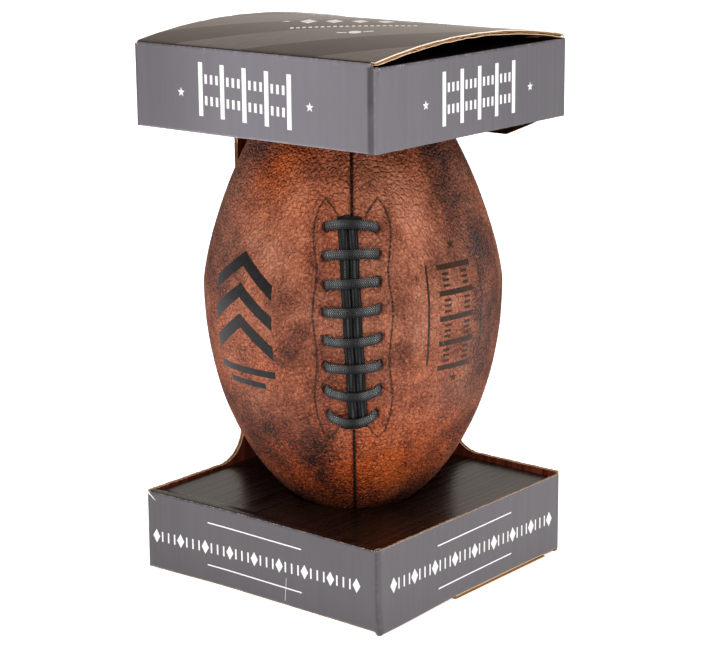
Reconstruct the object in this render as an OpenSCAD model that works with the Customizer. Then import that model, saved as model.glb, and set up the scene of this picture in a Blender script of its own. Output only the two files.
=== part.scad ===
/* [Board] */
// Thickness of the corrugated board
board_t = 2.6; // [2:0.1:3]

/* [Box] */
// Outer width and depth of the box
box_w = 171; // [169:0.5:174]
// Height of the top edge of the base walls
base_top = 48.6; // [44:0.1:50]
// Height of the bottom edge of the lid walls
lid_bottom = 261.6; // [258:0.1:266]
// Height of the top edge of the lid walls
lid_top = 306; // [300:0.1:312]
// Height of the wall bottoms above the table, outside the outermost bottom flap
wall_lift = 1.6; // [0.5:0.1:2.4]
// Height of the back panel's base part
back_base_top = 50.1; // [48:0.1:51]
// Distance of the free edges of the two back panels from the box centre line
spine_edge = 6.5; // [4:0.5:12]
// Radius of the concave flares where a back panel widens into base and lid
flare_r = 20; // [10:1:24]
// Rise of the bowed lid panel between its two ends
lid_bow = 7.5; // [5:0.5:10]

/* [Flaps] */
// Depth of the lid's tuck flap
tuck_d = 18; // [12:1:19]
// Half width of the lid's tuck flap
tuck_half = 70; // [50:1:74]
// Depth of the lid's two dust flaps
dust_d = 45; // [25:1:50]
// Width of the glue flaps at the front corner
glue_w = 25; // [18:1:32]
// Depth of the outermost bottom flap, measured from the back wall's outer face
bottom_d = 101.5; // [92:0.5:120]
// Depth of the hanging flap below the lid's ball panel
hang_d = 14.5; // [8:0.5:18]

/* [Ball] */
// Length of the ball below its widest point
ball_down = 142; // [140:0.5:144]
// Length of the ball above its widest point
ball_up = 137; // [134:0.5:139]
// Largest radius of the ball
ball_r = 85.2; // [83.5:0.1:85.4]
// Distance of the ball's axis from the box centre, along +X
ball_x = 2.7; // [2.6:0.1:4.5]
// Distance of the ball's axis from the box centre, along -Y
ball_y = 4.3; // [2.5:0.1:5]
// Height of the ball's widest point above the table
ball_z = 172.1; // [170:0.1:173]
// Clearance between the ball and the rims of its two holes
ball_gap = 0.45; // [0.3:0.05:1]
// Thickness of the ball's leather
leather_t = 2.3; // [2:0.1:3]
// Direction of the lacing around the ball's axis, in degrees from +X
lace_az = -50.3; // [-60:0.1:-40]

/* [Lacing] */
// Number of laces across the seam
lace_n = 8; // [6:1:10]
// Height of the lowest cross lace above the ball's widest point
lace_z0 = -58.4; // [-62:0.1:-54]
// Height of the highest cross lace above the ball's widest point
lace_z1 = 44.5; // [40:0.1:48]
// Length of one cross lace along the surface
lace_len = 33; // [26:0.5:36]
// Width of one flat lace
lace_w = 5.5; // [4:0.1:6.5]

/* [Hidden] */
$fn = 96;

h = box_w / 2;              // outer half width
hi = h - board_t;           // inner half width
gap = 0.2;                  // air between folded layers
lid_z0 = lid_top + gap;     // underside of the lid panel at its ends
lid_z1 = lid_z0 + board_t;  // its outer surface there, and the height of its hinge
lid_far = hi - 0.5;         // far end of the lid panel
tuck_lean = 9;              // inward lean of the closed tuck flap, degrees
dust_hinge = lid_top;       // height of the dust flaps' hinges

print_grey = [0.42, 0.40, 0.41];
dark_face = [0.20, 0.15, 0.13];
kraft = [0.62, 0.47, 0.33];
leather = [0.53, 0.33, 0.25];
lace_black = [0.10, 0.10, 0.11];

// ---------- helpers ----------

// stands a flat outline up in the X-Z plane, from y0 to y0 + t
module stand_xz(y0, t) translate([0, y0 + t, 0]) rotate([90, 0, 0]) linear_extrude(t) children();

// stands a flat outline (drawn as y, z) up in the Y-Z plane, from x0 to x0 + t
module stand_yz(x0, t) translate([x0, 0, 0]) rotate([90, 0, 90]) linear_extrude(t) children();

// rectangle from its corners
module rect(x0, y0, x1, y1) translate([x0, y0]) square([x1 - x0, y1 - y0]);

// rectangle whose two lower corners are rounded
module tray_side(x0, y0, x1, y1, r) {
    rect(x0, y0 + r, x1, y1);
    rect(x0 + r, y0, x1 - r, y0 + r);
    for (x = [x0 + r, x1 - r]) translate([x, y0 + r]) circle(r);
}

// concave fillet of radius r in the corner at the origin, towards +x and sy
module flare(r, sy) difference() {
    rect(-0.5, sy > 0 ? -0.5 : -r, r, sy > 0 ? r : 0.5);
    translate([r, sy * r]) circle(r);
}

// one back panel: base wall, narrow spine and lid wall cut from one board.
// It fills from -e (the rear corner) to +w, and its spine ends at +s.
module spine_outline(e, w, s, z0, zb, z1) {
    rect(-e, z0, w, zb);
    rect(-e, lid_bottom, w, z1);
    rect(-e, zb - 1, s, lid_bottom + 1);
    translate([s, zb]) flare(flare_r, 1);
    translate([s, lid_bottom]) flare(flare_r, -1);
}

// ---------- ball profile ----------

// radius at height z of the surface that lies d below the leather's outside
function ball_rad(z, d = 0) = z < 0
    ? ball_part(-z / (ball_down - 1.6 * d), 2.029, 1.875) * (ball_r - d)
    : ball_part(z / (ball_up - 1.6 * d), 1.373, 1.736) * (ball_r - d);
function ball_part(t, p, q) = t >= 1 ? 0 : pow(1 - pow(t, p), 1 / q);
// heights bunch up towards the tips, where the profile turns fastest
function ball_h(i, n, d) = sin(180 * i / n - 90) * ((2 * i < n ? ball_down : ball_up) - 1.6 * d);
function ball_points(n, d) = [for (i = [0:n]) [ball_rad(ball_h(i, n, d), d), ball_h(i, n, d)]];
function ball_slope(z) = (ball_rad(z + 1) - ball_rad(z - 1)) / 2;
function flip(v) = [for (i = [len(v) - 1:-1:0]) v[i]];

// closed profile of a shell from depth d0 to depth d1 below the surface
module shell_profile(d0, d1, n = 44) polygon(concat(
    ball_points(n, d0), flip(ball_points(n, d1))));

module place_ball() translate([ball_x, -ball_y, ball_z]) children();

// one of the four leather panels, between two seams
module ball_panel(k) color(leather) place_ball() difference() {
    rotate([0, 0, lace_az + 90 * k]) rotate_extrude(angle = 90) shell_profile(0, leather_t);
    if (k == 2) valve_bore();
}

valve_r = 3.2;
valve_az = lace_az + 225;
module valve_bore() rotate([0, 0, valve_az]) rotate([0, 90, 0]) cylinder(r = valve_r, h = ball_r + 5);

// ---------- base ----------

module base_wall_front() color(print_grey)
    stand_xz(-h, board_t) tray_side(-h, wall_lift, h, base_top, 3);

module base_wall_right() color(print_grey) stand_yz(hi, board_t) difference() {
    union() {
        rect(-hi, wall_lift + 2, hi, base_top);
        rect(-hi, wall_lift, hi, wall_lift + 2);
    }
    rect(h - bottom_d, -1, h - 14, board_t + gap);
}

module base_glue_flap() color(print_grey) stand_xz(-hi, board_t)
    polygon([[hi, 9], [hi, base_top - 8], [hi - glue_w, base_top - 12], [hi - glue_w, 15]]);

module base_ball_panel() color(dark_face) difference() {
    translate([-hi, -hi, base_top - 1.8 - board_t]) cube([2 * hi, 2 * hi, board_t]);
    ball_hole(base_top - 1.8);
}

// round hole that fits the ball where the plane at height z cuts it
module ball_hole(z) translate([ball_x, -ball_y, z - 10])
    cylinder(r = ball_rad(z - ball_z) + ball_gap, h = 20);

module base_ball_panel_flap() color(dark_face) stand_xz(hi - board_t, board_t)
    polygon([[-80, base_top - 1.8 - board_t], [-76, 22], [76, 22], [80, base_top - 1.8 - board_t]]);

module bottom_flap_back() color(kraft) linear_extrude(board_t) union() {
    rect(-h, h - bottom_d, h, h - 14);
    rect(-hi, h - 14.5, hi, hi);
}

module bottom_flap_front() color(kraft) translate([0, 0, board_t + gap]) linear_extrude(board_t)
    polygon([[-80, -hi], [80, -hi], [72, 12], [-72, 12]]);

module side_flap(s) color(kraft) translate([0, 0, 2 * board_t + 2 * gap]) linear_extrude(board_t)
    polygon([[s * hi, -78], [s * hi, 78], [s * 10, 60], [s * 10, -60]]);
module bottom_flap_left() side_flap(-1);
module bottom_flap_right() side_flap(1);

// ---------- back panels ----------

module back_panel() color(print_grey) stand_xz(hi, board_t)
    spine_outline(h, h, spine_edge, 0, back_base_top, lid_top);

module left_panel() color(print_grey) mirror([0, 1, 0]) stand_yz(-h, board_t) difference() {
    spine_outline(hi, hi, spine_edge, wall_lift, base_top, lid_top);
    rect(14 - h, -1, bottom_d - h, board_t + gap);
}

// ---------- lid ----------

module lid_wall_front() color(print_grey) stand_xz(-h, board_t) rect(-h, lid_bottom, h, lid_top);

module lid_wall_right() color(print_grey) stand_yz(hi, board_t) rect(-hi, lid_bottom, hi, lid_top);

module lid_glue_flap() color(print_grey) stand_xz(-hi, board_t)
    polygon([[hi, lid_bottom + 6], [hi, lid_top - 5], [hi - glue_w, lid_top - 9], [hi - glue_w, lid_bottom + 10]]);

module lid_ball_panel() color(dark_face) difference() {
    translate([-hi, -hi, lid_bottom]) cube([2 * hi, 2 * hi, board_t]);
    ball_hole(lid_bottom);
}

module lid_ball_panel_flap() color(dark_face) stand_xz(hi - board_t, board_t) polygon([
    [-77, lid_bottom], [-64, lid_bottom - 7.5], [-49, lid_bottom - hang_d],
    [49, lid_bottom - hang_d], [64, lid_bottom - 7.5], [77, lid_bottom]]);

// the bowed panel is a strip of a very large tube
bow_half = (lid_far + h) / 2;
bow_mid = (lid_far - h) / 2;
bow_r = (bow_half * bow_half + lid_bow * lid_bow) / (2 * lid_bow);
module lid_top_panel() color(dark_face) stand_yz(-h, 2 * h) intersection() {
    translate([bow_mid, lid_z1 + lid_bow - bow_r]) difference() {
        circle(bow_r, $fn = 720);
        circle(bow_r - board_t, $fn = 720);
    }
    rect(-h, lid_z0 - 5, lid_far, lid_z1 + lid_bow + 1);
}

module lid_tuck_flap() color(dark_face) translate([0, lid_far, lid_z1]) rotate([-tuck_lean, 0, 0])
    stand_xz(-board_t, board_t) polygon([
        [-tuck_half, -board_t - 0.6], [tuck_half, -board_t - 0.6],
        [tuck_half - 1, -tuck_d + 6], [tuck_half - 9, -tuck_d], [9 - tuck_half, -tuck_d], [1 - tuck_half, -tuck_d + 6]]);

module dust_flap(s) color(dark_face) translate([0, 0, lid_top - board_t]) linear_extrude(board_t) polygon([
    [s * (hi - 0.1), -hi + 2], [s * (hi - 0.1), 78], [s * (tuck_half + 4), 78], [s * (tuck_half + 1), 73],
    [s * (hi - dust_d), 66], [s * (hi - dust_d), dust_d - hi + 4]]);
module lid_dust_flap_right() dust_flap(1);
module lid_dust_flap_left() dust_flap(-1);

// ---------- ball ----------

module ball_panel_1() ball_panel(0);
module ball_panel_2() ball_panel(1);
module ball_panel_3() ball_panel(2);
module ball_panel_4() ball_panel(3);

lining_t = 0.9;
bladder_t = 0.7;
lining_d = leather_t + 1.4;
module ball_lining() color([0.75, 0.70, 0.62]) place_ball() difference() {
    rotate_extrude() shell_profile(lining_d, lining_d + lining_t);
    valve_bore();
}
module ball_bladder() color([0.15, 0.15, 0.15]) place_ball() difference() {
    rotate_extrude() shell_profile(lining_d + lining_t + 0.1, lining_d + lining_t + 0.1 + bladder_t);
    valve_bore();
}
module ball_valve() color([0.12, 0.12, 0.12]) place_ball() rotate([0, 0, valve_az]) rotate([0, 90, 0])
    difference() {
        translate([0, 0, ball_r - 12]) cylinder(r = valve_r - 0.05, h = 11.7);
        translate([0, 0, ball_r - 8]) cylinder(r = 0.8, h = 9);
    }

// reinforcing strip under the leather, along one side of the laced seam
module facing(side) color(leather) place_ball() rotate([0, 0, lace_az + (side > 0 ? 0.6 : -24.6)])
    rotate_extrude(angle = 24) intersection() {
        shell_profile(leather_t + 0.1, lining_d - 0.1);
        rect(50, lace_z0 - 22, 100, lace_z1 + 22);
    }
module ball_facing_left() facing(-1);
module ball_facing_right() facing(1);

// two flat strands side by side over the seam
run_gap = 0.4;
run_t = 1.1;
module run_profile() intersection() {
    shell_profile(-0.35 - run_t, -0.35);
    rect(40, lace_z0 - 9, 100, lace_z1 + 6);
}
module ball_lace_runs() color(lace_black) place_ball() rotate([0, 0, lace_az])
    for (s = [-1, 1]) translate([0, s * (lace_w + run_gap) / 2, 0])
        rotate([90, 0, 0]) linear_extrude(lace_w, center = true) run_profile();

// flat laces across the seam, each one following the ball round
bar_t = 1.3;
module ball_lace_bars() color(lace_black) place_ball() for (i = [0:lace_n - 1]) {
    z = lace_z0 + (lace_z1 - lace_z0) * i / (lace_n - 1);
    a = lace_len / ball_rad(z) * 180 / PI;
    rotate([0, 0, lace_az - a / 2]) rotate_extrude(angle = a)
        translate([ball_rad(z), z]) rotate(-atan(ball_slope(z)))
            translate([run_t + 0.6, -lace_w / 2]) square([bar_t, lace_w]);
}

base_wall_front();
base_wall_right();
base_glue_flap();
lid_wall_front();
lid_wall_right();
lid_glue_flap();
back_panel();
left_panel();
base_ball_panel();
base_ball_panel_flap();
lid_ball_panel();
lid_ball_panel_flap();
bottom_flap_back();
bottom_flap_front();
bottom_flap_left();
bottom_flap_right();
lid_top_panel();
lid_tuck_flap();
lid_dust_flap_right();
lid_dust_flap_left();
ball_panel_1();
ball_panel_2();
ball_panel_3();
ball_panel_4();
ball_lining();
ball_bladder();
ball_valve();
ball_facing_left();
ball_facing_right();
ball_lace_bars();
ball_lace_runs();
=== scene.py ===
import math
import bpy, bmesh
import numpy as np
from mathutils import Matrix, Vector

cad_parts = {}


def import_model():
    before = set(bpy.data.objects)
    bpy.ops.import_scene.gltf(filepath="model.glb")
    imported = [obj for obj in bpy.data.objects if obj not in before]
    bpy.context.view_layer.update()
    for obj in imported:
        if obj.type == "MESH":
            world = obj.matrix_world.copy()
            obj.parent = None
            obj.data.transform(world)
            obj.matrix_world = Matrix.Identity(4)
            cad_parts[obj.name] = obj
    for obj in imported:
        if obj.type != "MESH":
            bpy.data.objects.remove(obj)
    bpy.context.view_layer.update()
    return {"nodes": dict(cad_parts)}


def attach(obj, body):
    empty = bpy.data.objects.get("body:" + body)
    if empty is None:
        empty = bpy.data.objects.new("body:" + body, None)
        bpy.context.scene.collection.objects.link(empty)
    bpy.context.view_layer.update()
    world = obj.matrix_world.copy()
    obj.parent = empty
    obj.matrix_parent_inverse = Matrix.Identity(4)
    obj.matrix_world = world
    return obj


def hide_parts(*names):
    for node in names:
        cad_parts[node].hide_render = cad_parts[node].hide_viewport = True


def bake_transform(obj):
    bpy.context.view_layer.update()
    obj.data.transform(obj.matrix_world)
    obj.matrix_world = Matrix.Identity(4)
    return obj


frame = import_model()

scene = bpy.context.scene
PI = math.pi
H = 85.5            # outer half width of the case, mm
HI = 82.9           # inner half width
T = 2.6             # board thickness
PITCH = 4.5         # flute pitch
BALL = (2.7, -4.3, 172.1)
LACE_AZ = -50.3


# ------------------------------------------------------------------ camera, floor and light

def camera():
    az, el, roll = [math.radians(v) for v in (39.77, 14.275, -0.514)]
    back = Vector((math.sin(az) * math.cos(el), -math.cos(az) * math.cos(el), math.sin(el)))
    fwd = -back
    right = fwd.cross(Vector((0, 0, 1))).normalized()
    up = right.cross(fwd)
    c, s = math.cos(roll), math.sin(roll)
    r = c * right + s * up
    u = -s * right + c * up
    d = bpy.data.cameras.new("camera")
    o = bpy.data.objects.new("camera", d)
    scene.collection.objects.link(o)
    d.sensor_width = 36
    d.lens = 2133.08 * 36 / 720
    d.clip_end = 30
    o.matrix_world = Matrix(((r.x, u.x, -fwd.x, 0.7655), (r.y, u.y, -fwd.y, -0.9151),
                             (r.z, u.z, -fwd.z, 0.4418), (0, 0, 0, 1)))
    scene.camera = o


def area_light(name, loc, target, size, power, size_y=None, colour=(1, 1, 1)):
    d = bpy.data.lights.new(name, "AREA")
    d.energy = power
    d.color = colour
    d.size = size
    if size_y:
        d.shape = "RECTANGLE"
        d.size_y = size_y
    o = bpy.data.objects.new(name, d)
    scene.collection.objects.link(o)
    o.location = loc
    o.rotation_euler = (Vector(target) - Vector(loc)).to_track_quat("-Z", "Y").to_euler()
    return o


def world():
    w = bpy.data.worlds.new("studio")
    scene.world = w
    w.use_nodes = True
    nt = w.node_tree
    bg = nt.nodes["Background"]
    bg.inputs[0].default_value = (1.0, 1.0, 1.0, 1)
    seen = nt.nodes.new("ShaderNodeLightPath")
    k = nt.nodes.new("ShaderNodeMapRange")
    nt.links.new(seen.outputs["Is Camera Ray"], k.inputs["Value"])
    k.inputs["To Max"].default_value = 1.0
    # the studio is bright behind the object and dim on the camera's side, for every ray but the camera's own
    co = nt.nodes.new("ShaderNodeTexCoord")
    dot = nt.nodes.new("ShaderNodeVectorMath")
    dot.operation = "DOT_PRODUCT"
    nt.links.new(co.outputs["Generated"], dot.inputs[0])
    dot.inputs[1].default_value = (-0.62, 0.75, -0.22)
    back = nt.nodes.new("ShaderNodeMapRange")
    back.interpolation_type = "SMOOTHSTEP"
    nt.links.new(dot.outputs["Value"], back.inputs["Value"])
    back.inputs["From Min"].default_value = -0.05
    back.inputs["From Max"].default_value = 0.85
    back.inputs["To Min"].default_value = 0.27
    back.inputs["To Max"].default_value = 0.95
    nt.links.new(back.outputs[0], k.inputs["To Min"])
    # varnish and leather mirror a slightly dimmer, warmer room than the one that lights them
    dim = nt.nodes.new("ShaderNodeMapRange")
    nt.links.new(seen.outputs["Is Glossy Ray"], dim.inputs["Value"])
    dim.inputs["To Min"].default_value = 1.0
    dim.inputs["To Max"].default_value = 0.66
    both = nt.nodes.new("ShaderNodeMath")
    both.operation = "MULTIPLY"
    nt.links.new(k.outputs[0], both.inputs[0])
    nt.links.new(dim.outputs[0], both.inputs[1])
    nt.links.new(both.outputs[0], bg.inputs[1])
    tint = nt.nodes.new("ShaderNodeMix")
    tint.data_type = "RGBA"
    nt.links.new(seen.outputs["Is Glossy Ray"], tint.inputs[0])
    tint.inputs[6].default_value = (1.0, 1.0, 1.0, 1)
    tint.inputs[7].default_value = (1.0, 0.90, 0.82, 1)
    nt.links.new(tint.outputs[2], bg.inputs[0])


camera()
world()
scene.view_settings.view_transform = "Standard"
scene.view_settings.look = "None"


# ------------------------------------------------------------------ materials

def lin(r, g, b, k=1.0):
    def f(v):
        v = v / 255
        return v / 12.92 if v <= 0.04045 else ((v + 0.055) / 1.055) ** 2.4
    return (f(r) * k, f(g) * k, f(b) * k, 1.0)


class Mat:
    """A procedural material under construction. Coordinates are the object's own, in metres."""

    def __init__(self, name):
        self.m = bpy.data.materials.new(name)
        self.m.use_nodes = True
        self.t = self.m.node_tree
        self.b = self.t.nodes["Principled BSDF"]
        self.out = self.t.nodes["Material Output"]
        self._co = None

    def new(self, kind, **kw):
        n = self.t.nodes.new(kind)
        for k, v in kw.items():
            setattr(n, k, v)
        return n

    def put(self, sock, v):
        if hasattr(v, "links") or isinstance(v, bpy.types.NodeSocket):
            self.t.links.new(v, sock)
        elif isinstance(v, (int, float)) and hasattr(sock.default_value, "__len__"):
            n = len(sock.default_value)
            sock.default_value = [v] * 3 + ([1.0] if n == 4 else [])
        else:
            sock.default_value = v

    @property
    def co(self):
        if self._co is None:
            self._co = self.new("ShaderNodeTexCoord").outputs["Object"]
        return self._co

    def mapped(self, scale=(1, 1, 1), loc=(0, 0, 0), rot=(0, 0, 0), co=None):
        n = self.new("ShaderNodeMapping")
        self.put(n.inputs["Vector"], co or self.co)
        n.inputs["Location"].default_value = loc
        n.inputs["Rotation"].default_value = rot
        n.inputs["Scale"].default_value = scale
        return n.outputs[0]

    def noise(self, scale, detail=3.0, rough=0.5, dist=0.0, co=None, colour=False, lac=2.0):
        n = self.new("ShaderNodeTexNoise")
        self.put(n.inputs["Vector"], co or self.co)
        n.inputs["Scale"].default_value = scale
        n.inputs["Detail"].default_value = detail
        n.inputs["Roughness"].default_value = rough
        n.inputs["Lacunarity"].default_value = lac
        n.inputs["Distortion"].default_value = dist
        return n.outputs["Color" if colour else "Fac"]

    def voronoi(self, scale, feature="F1", co=None, rnd=1.0, out="Distance", smooth=None):
        n = self.new("ShaderNodeTexVoronoi", feature=feature)
        self.put(n.inputs["Vector"], co or self.co)
        n.inputs["Scale"].default_value = scale
        n.inputs["Randomness"].default_value = rnd
        if smooth is not None:
            n.inputs["Smoothness"].default_value = smooth
        return n.outputs[out]

    def math(self, op, a, b=0.0, c=None, clamp=False):
        n = self.new("ShaderNodeMath", operation=op)
        n.use_clamp = clamp
        self.put(n.inputs[0], a)
        self.put(n.inputs[1], b)
        if c is not None:
            self.put(n.inputs[2], c)
        return n.outputs[0]

    def ramp(self, fac, stops, mode="LINEAR"):
        n = self.new("ShaderNodeValToRGB")
        self.put(n.inputs[0], fac)
        cr = n.color_ramp
        cr.interpolation = mode
        while len(cr.elements) < len(stops):
            cr.elements.new(0.5)
        for e, (p, c) in zip(cr.elements, stops):
            e.position = p
            e.color = c if len(c) == 4 else (*c, 1)
        return n.outputs[0]

    def smooth(self, v, a, b, lo=0.0, hi=1.0):
        n = self.new("ShaderNodeMapRange", interpolation_type="SMOOTHSTEP")
        self.put(n.inputs["Value"], v)
        n.inputs["From Min"].default_value = a
        n.inputs["From Max"].default_value = b
        n.inputs["To Min"].default_value = lo
        n.inputs["To Max"].default_value = hi
        return n.outputs[0]

    def mix(self, fac, a, b, blend="MIX"):
        n = self.new("ShaderNodeMix", data_type="RGBA", blend_type=blend)
        n.clamp_factor = True
        self.put(n.inputs[0], fac)
        self.put(n.inputs[6], a)
        self.put(n.inputs[7], b)
        return n.outputs[2]

    def attr(self, name):
        n = self.new("ShaderNodeAttribute", attribute_name=name)
        return n.outputs["Fac"]

    def sep(self, v=None):
        n = self.new("ShaderNodeSeparateXYZ")
        self.put(n.inputs[0], v or self.co)
        return n.outputs

    def bump(self, height, dist, strength=1.0, normal=None):
        n = self.new("ShaderNodeBump")
        n.inputs["Strength"].default_value = strength
        n.inputs["Distance"].default_value = dist
        self.put(n.inputs["Height"], height)
        if normal is not None:
            self.put(n.inputs["Normal"], normal)
        return n.outputs[0]

    def set(self, **kw):
        for k, v in kw.items():
            self.put(self.b.inputs[k.replace("_", " ")], v)
        return self


def make_print(name, albedo, rough=0.36, seed=0.0, streak="z", lid=True):
    """Satin grey printing on the clay-coated liner, rubbed through in specks where the attribute wear is high, with
    painted shade by position and along the upright folds.
    """
    m = Mat(name)
    co = m.mapped(loc=(seed, seed * 0.7, seed * 1.3))
    soft = m.noise(14, 2.0, 0.5, co=co)
    fine = m.noise(900, 2.0, 0.6, co=co)
    sc = {"z": (330, 330, 12), "y": (330, 12, 330), "x": (12, 330, 330)}[streak]
    lines = m.noise(1.0, 3.0, 0.6, co=m.mapped(scale=sc, co=co))
    base = m.mix(m.smooth(soft, 0.3, 0.7), tuple(v * 0.95 for v in albedo[:3]) + (1,), tuple(min(1, v * 1.05) for v in albedo[:3]) + (1,))
    base = m.mix(m.math("MULTIPLY", m.smooth(lines, 0.35, 0.75), 0.35), base, tuple(v * 0.86 for v in albedo[:3]) + (1,))
    base = m.mix(m.math("MULTIPLY", m.smooth(fine, 0.55, 0.8), 0.25), base, tuple(min(1, v * 1.25) for v in albedo[:3]) + (1,))
    wear = m.attr("wear")
    spots = m.noise(1300, 3.0, 0.7, co=co)
    hole = m.math("GREATER_THAN", m.math("ADD", m.math("MULTIPLY", wear, 0.34), spots), 0.86)
    rub = m.math("MULTIPLY", m.smooth(m.noise(260, 3.0, 0.7, co=co), 0.42, 0.72), m.math("MULTIPLY", wear, 0.55))
    # where wear is high the print is rubbed paler; along the dust flaps' folds this also serves as a painted highlight
    base = m.mix(rub, base, lin(176, 170, 172))
    base = m.mix(hole, base, lin(226, 214, 200))
    # painted shade: with lid set the print darkens towards both ends in x, towards the back in y and a little more on
    # the right wall's face; otherwise it darkens towards the bottom and towards the left
    x, y, z = m.sep()
    if lid:
        painted_shade = m.math("ADD", m.smooth(x, -0.012, -0.078, 0.0, 0.33), m.smooth(x, 0.030, 0.0845, 0.0, 0.14))
        painted_shade = m.math("ADD", painted_shade, m.smooth(y, -0.075, 0.060, 0.0, 0.22))
        painted_shade = m.math("ADD", painted_shade, m.smooth(x, 0.0848, 0.0853, 0.0, 0.05))
    else:
        painted_shade = m.math("ADD", m.smooth(z, 0.030, 0.002, 0.0, 0.16), m.smooth(x, -0.045, -0.083, 0.0, 0.12))
    base = m.mix(painted_shade, base, (0.0, 0.0, 0.0, 1))
    # painted shade: the fold attribute darkens the print along the upright corner folds
    base = m.mix(m.attr("fold"), base, lin(24, 22, 24))
    m.set(Base_Color=base, Roughness=m.math("ADD", m.math("MULTIPLY", m.smooth(lines, 0.3, 0.7), 0.08), rough))
    h = m.math("ADD", m.math("MULTIPLY", lines, 0.6), m.math("MULTIPLY", fine, 0.4))
    m.set(Normal=m.bump(h, 0.00004, 0.6))
    m.b.inputs["IOR"].default_value = 1.5
    return m.m


def make_kraft(name, a, b, rough=0.85, fibre="z", scale=1.0):
    """Raw brown board: fibres, specks and slight streaks along the flutes."""
    m = Mat(name)
    sc = {"z": (900, 900, 60), "y": (900, 60, 900), "x": (60, 900, 900)}[fibre]
    f = m.noise(scale, 4.0, 0.65, co=m.mapped(scale=sc))
    g = m.noise(420, 3.0, 0.6)
    blot = m.noise(60, 2.0, 0.5)
    c = m.mix(m.smooth(f, 0.3, 0.7), a, b)
    c = m.mix(m.math("MULTIPLY", m.smooth(g, 0.5, 0.75), 0.4), c, tuple(v * 0.62 for v in a[:3]) + (1,))
    c = m.mix(m.math("MULTIPLY", m.smooth(blot, 0.4, 0.7), 0.25), c, tuple(min(1, v * 1.2) for v in b[:3]) + (1,))
    m.set(Base_Color=c, Roughness=rough)
    m.set(Normal=m.bump(m.math("ADD", f, g), 0.0001, 0.7))
    return m.m


def make_dark(name, streak="y", gloss=0.24, tint=(1.0, 1.0, 1.0)):
    """Near-black varnished print with faint brushed lines and a few dust specks."""
    m = Mat(name)
    sc = {"z": (420, 420, 7), "y": (420, 7, 420), "x": (7, 420, 420)}[streak]
    lines = m.noise(1.0, 4.0, 0.65, co=m.mapped(scale=sc))
    soft = m.noise(18, 2.0, 0.5)
    dust = m.math("GREATER_THAN", m.noise(520, 2.0, 0.8), 0.79)
    wear = m.attr("wear")
    ta = tuple(a * b for a, b in zip((0.0030, 0.0009, 0.0005), tint)) + (1,)
    tb = tuple(a * b for a, b in zip((0.0135, 0.0062, 0.0038), tint)) + (1,)
    c = m.mix(m.smooth(lines, 0.3, 0.7), ta, tb)
    c = m.mix(m.math("MULTIPLY", m.smooth(soft, 0.3, 0.7), 0.3), c, ta)
    c = m.mix(m.math("MULTIPLY", dust, 0.5), c, lin(150, 140, 130))
    spots = m.math("GREATER_THAN", m.math("ADD", m.math("MULTIPLY", wear, 0.34), m.noise(1200, 3.0, 0.7)), 0.87)
    c = m.mix(spots, c, lin(190, 160, 130))
    m.set(Base_Color=c, Roughness=m.math("ADD", m.math("MULTIPLY", m.smooth(lines, 0.35, 0.8), 0.12), gloss))
    m.set(Normal=m.bump(lines, 0.00002, 0.4))
    m.b.inputs["IOR"].default_value = 1.56
    return m.m


def make_lid_top(name):
    """The lid's printed top: a burst of dark and light rays, drawn fine along the flutes."""
    m = Mat(name)
    x, y, z = m.sep()
    ang = m.math("ARCTAN2", m.math("ADD", y, 0.689), m.math("ADD", x, 0.634))
    u = m.math("DIVIDE", m.math("SUBTRACT", ang, math.radians(46.36)), math.radians(4.64))
    # sign of sin(2 pi u): dark left of L1, light L1..L2, dark L2..L3
    wave = m.math("SINE", m.math("MULTIPLY", u, 2 * PI))
    ray = m.smooth(wave, -0.06, 0.06)
    lines = m.noise(1.0, 4.0, 0.7, co=m.mapped(scale=(520, 9, 520)))
    soft = m.noise(11, 2.0, 0.5)
    fine = m.noise(800, 2.0, 0.6)
    dark = m.mix(m.smooth(lines, 0.3, 0.7), lin(58, 46, 37), lin(74, 61, 52))
    light = m.mix(m.smooth(lines, 0.3, 0.7), lin(95, 84, 76), lin(111, 99, 92))
    c = m.mix(ray, light, dark)
    c = m.mix(m.math("MULTIPLY", m.smooth(soft, 0.3, 0.7), 0.2), c, lin(84, 76, 74))
    c = m.mix(m.math("MULTIPLY", m.smooth(fine, 0.6, 0.8), 0.2), c, lin(130, 120, 115))
    wear = m.attr("wear")
    spots = m.math("GREATER_THAN", m.math("ADD", m.math("MULTIPLY", wear, 0.34), m.noise(1200, 3.0, 0.7)), 0.87)
    c = m.mix(spots, c, lin(200, 190, 180))
    # painted shade: the top is darkened towards its front edge
    c = m.mix(m.smooth(y, -0.02, -0.08, 0.0, 0.22), c, (0.0, 0.0, 0.0, 1))
    m.set(Base_Color=c, Roughness=m.math("ADD", m.math("MULTIPLY", m.smooth(lines, 0.3, 0.75), 0.08), 0.15))
    m.b.inputs["IOR"].default_value = 1.12
    m.set(Normal=m.bump(m.math("ADD", m.math("MULTIPLY", lines, 0.7), m.math("MULTIPLY", fine, 0.3)), 0.00004, 0.5))
    return m.m


def make_ink(name, col, rough=0.45):
    """White ink with a little mottle where it sits on the board's fibres."""
    m = Mat(name)
    f = m.noise(1500, 3.0, 0.6)
    g = m.noise(120, 2.0, 0.5)
    c = m.mix(m.smooth(f, 0.3, 0.75), col, tuple(v * 0.9 for v in col[:3]) + (1,))
    c = m.mix(m.math("MULTIPLY", m.smooth(g, 0.4, 0.7), 0.3), c, tuple(v * 0.95 for v in col[:3]) + (1,))
    m.set(Base_Color=c, Roughness=rough, Normal=m.bump(f, 0.00002, 0.5))
    return m.m


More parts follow.
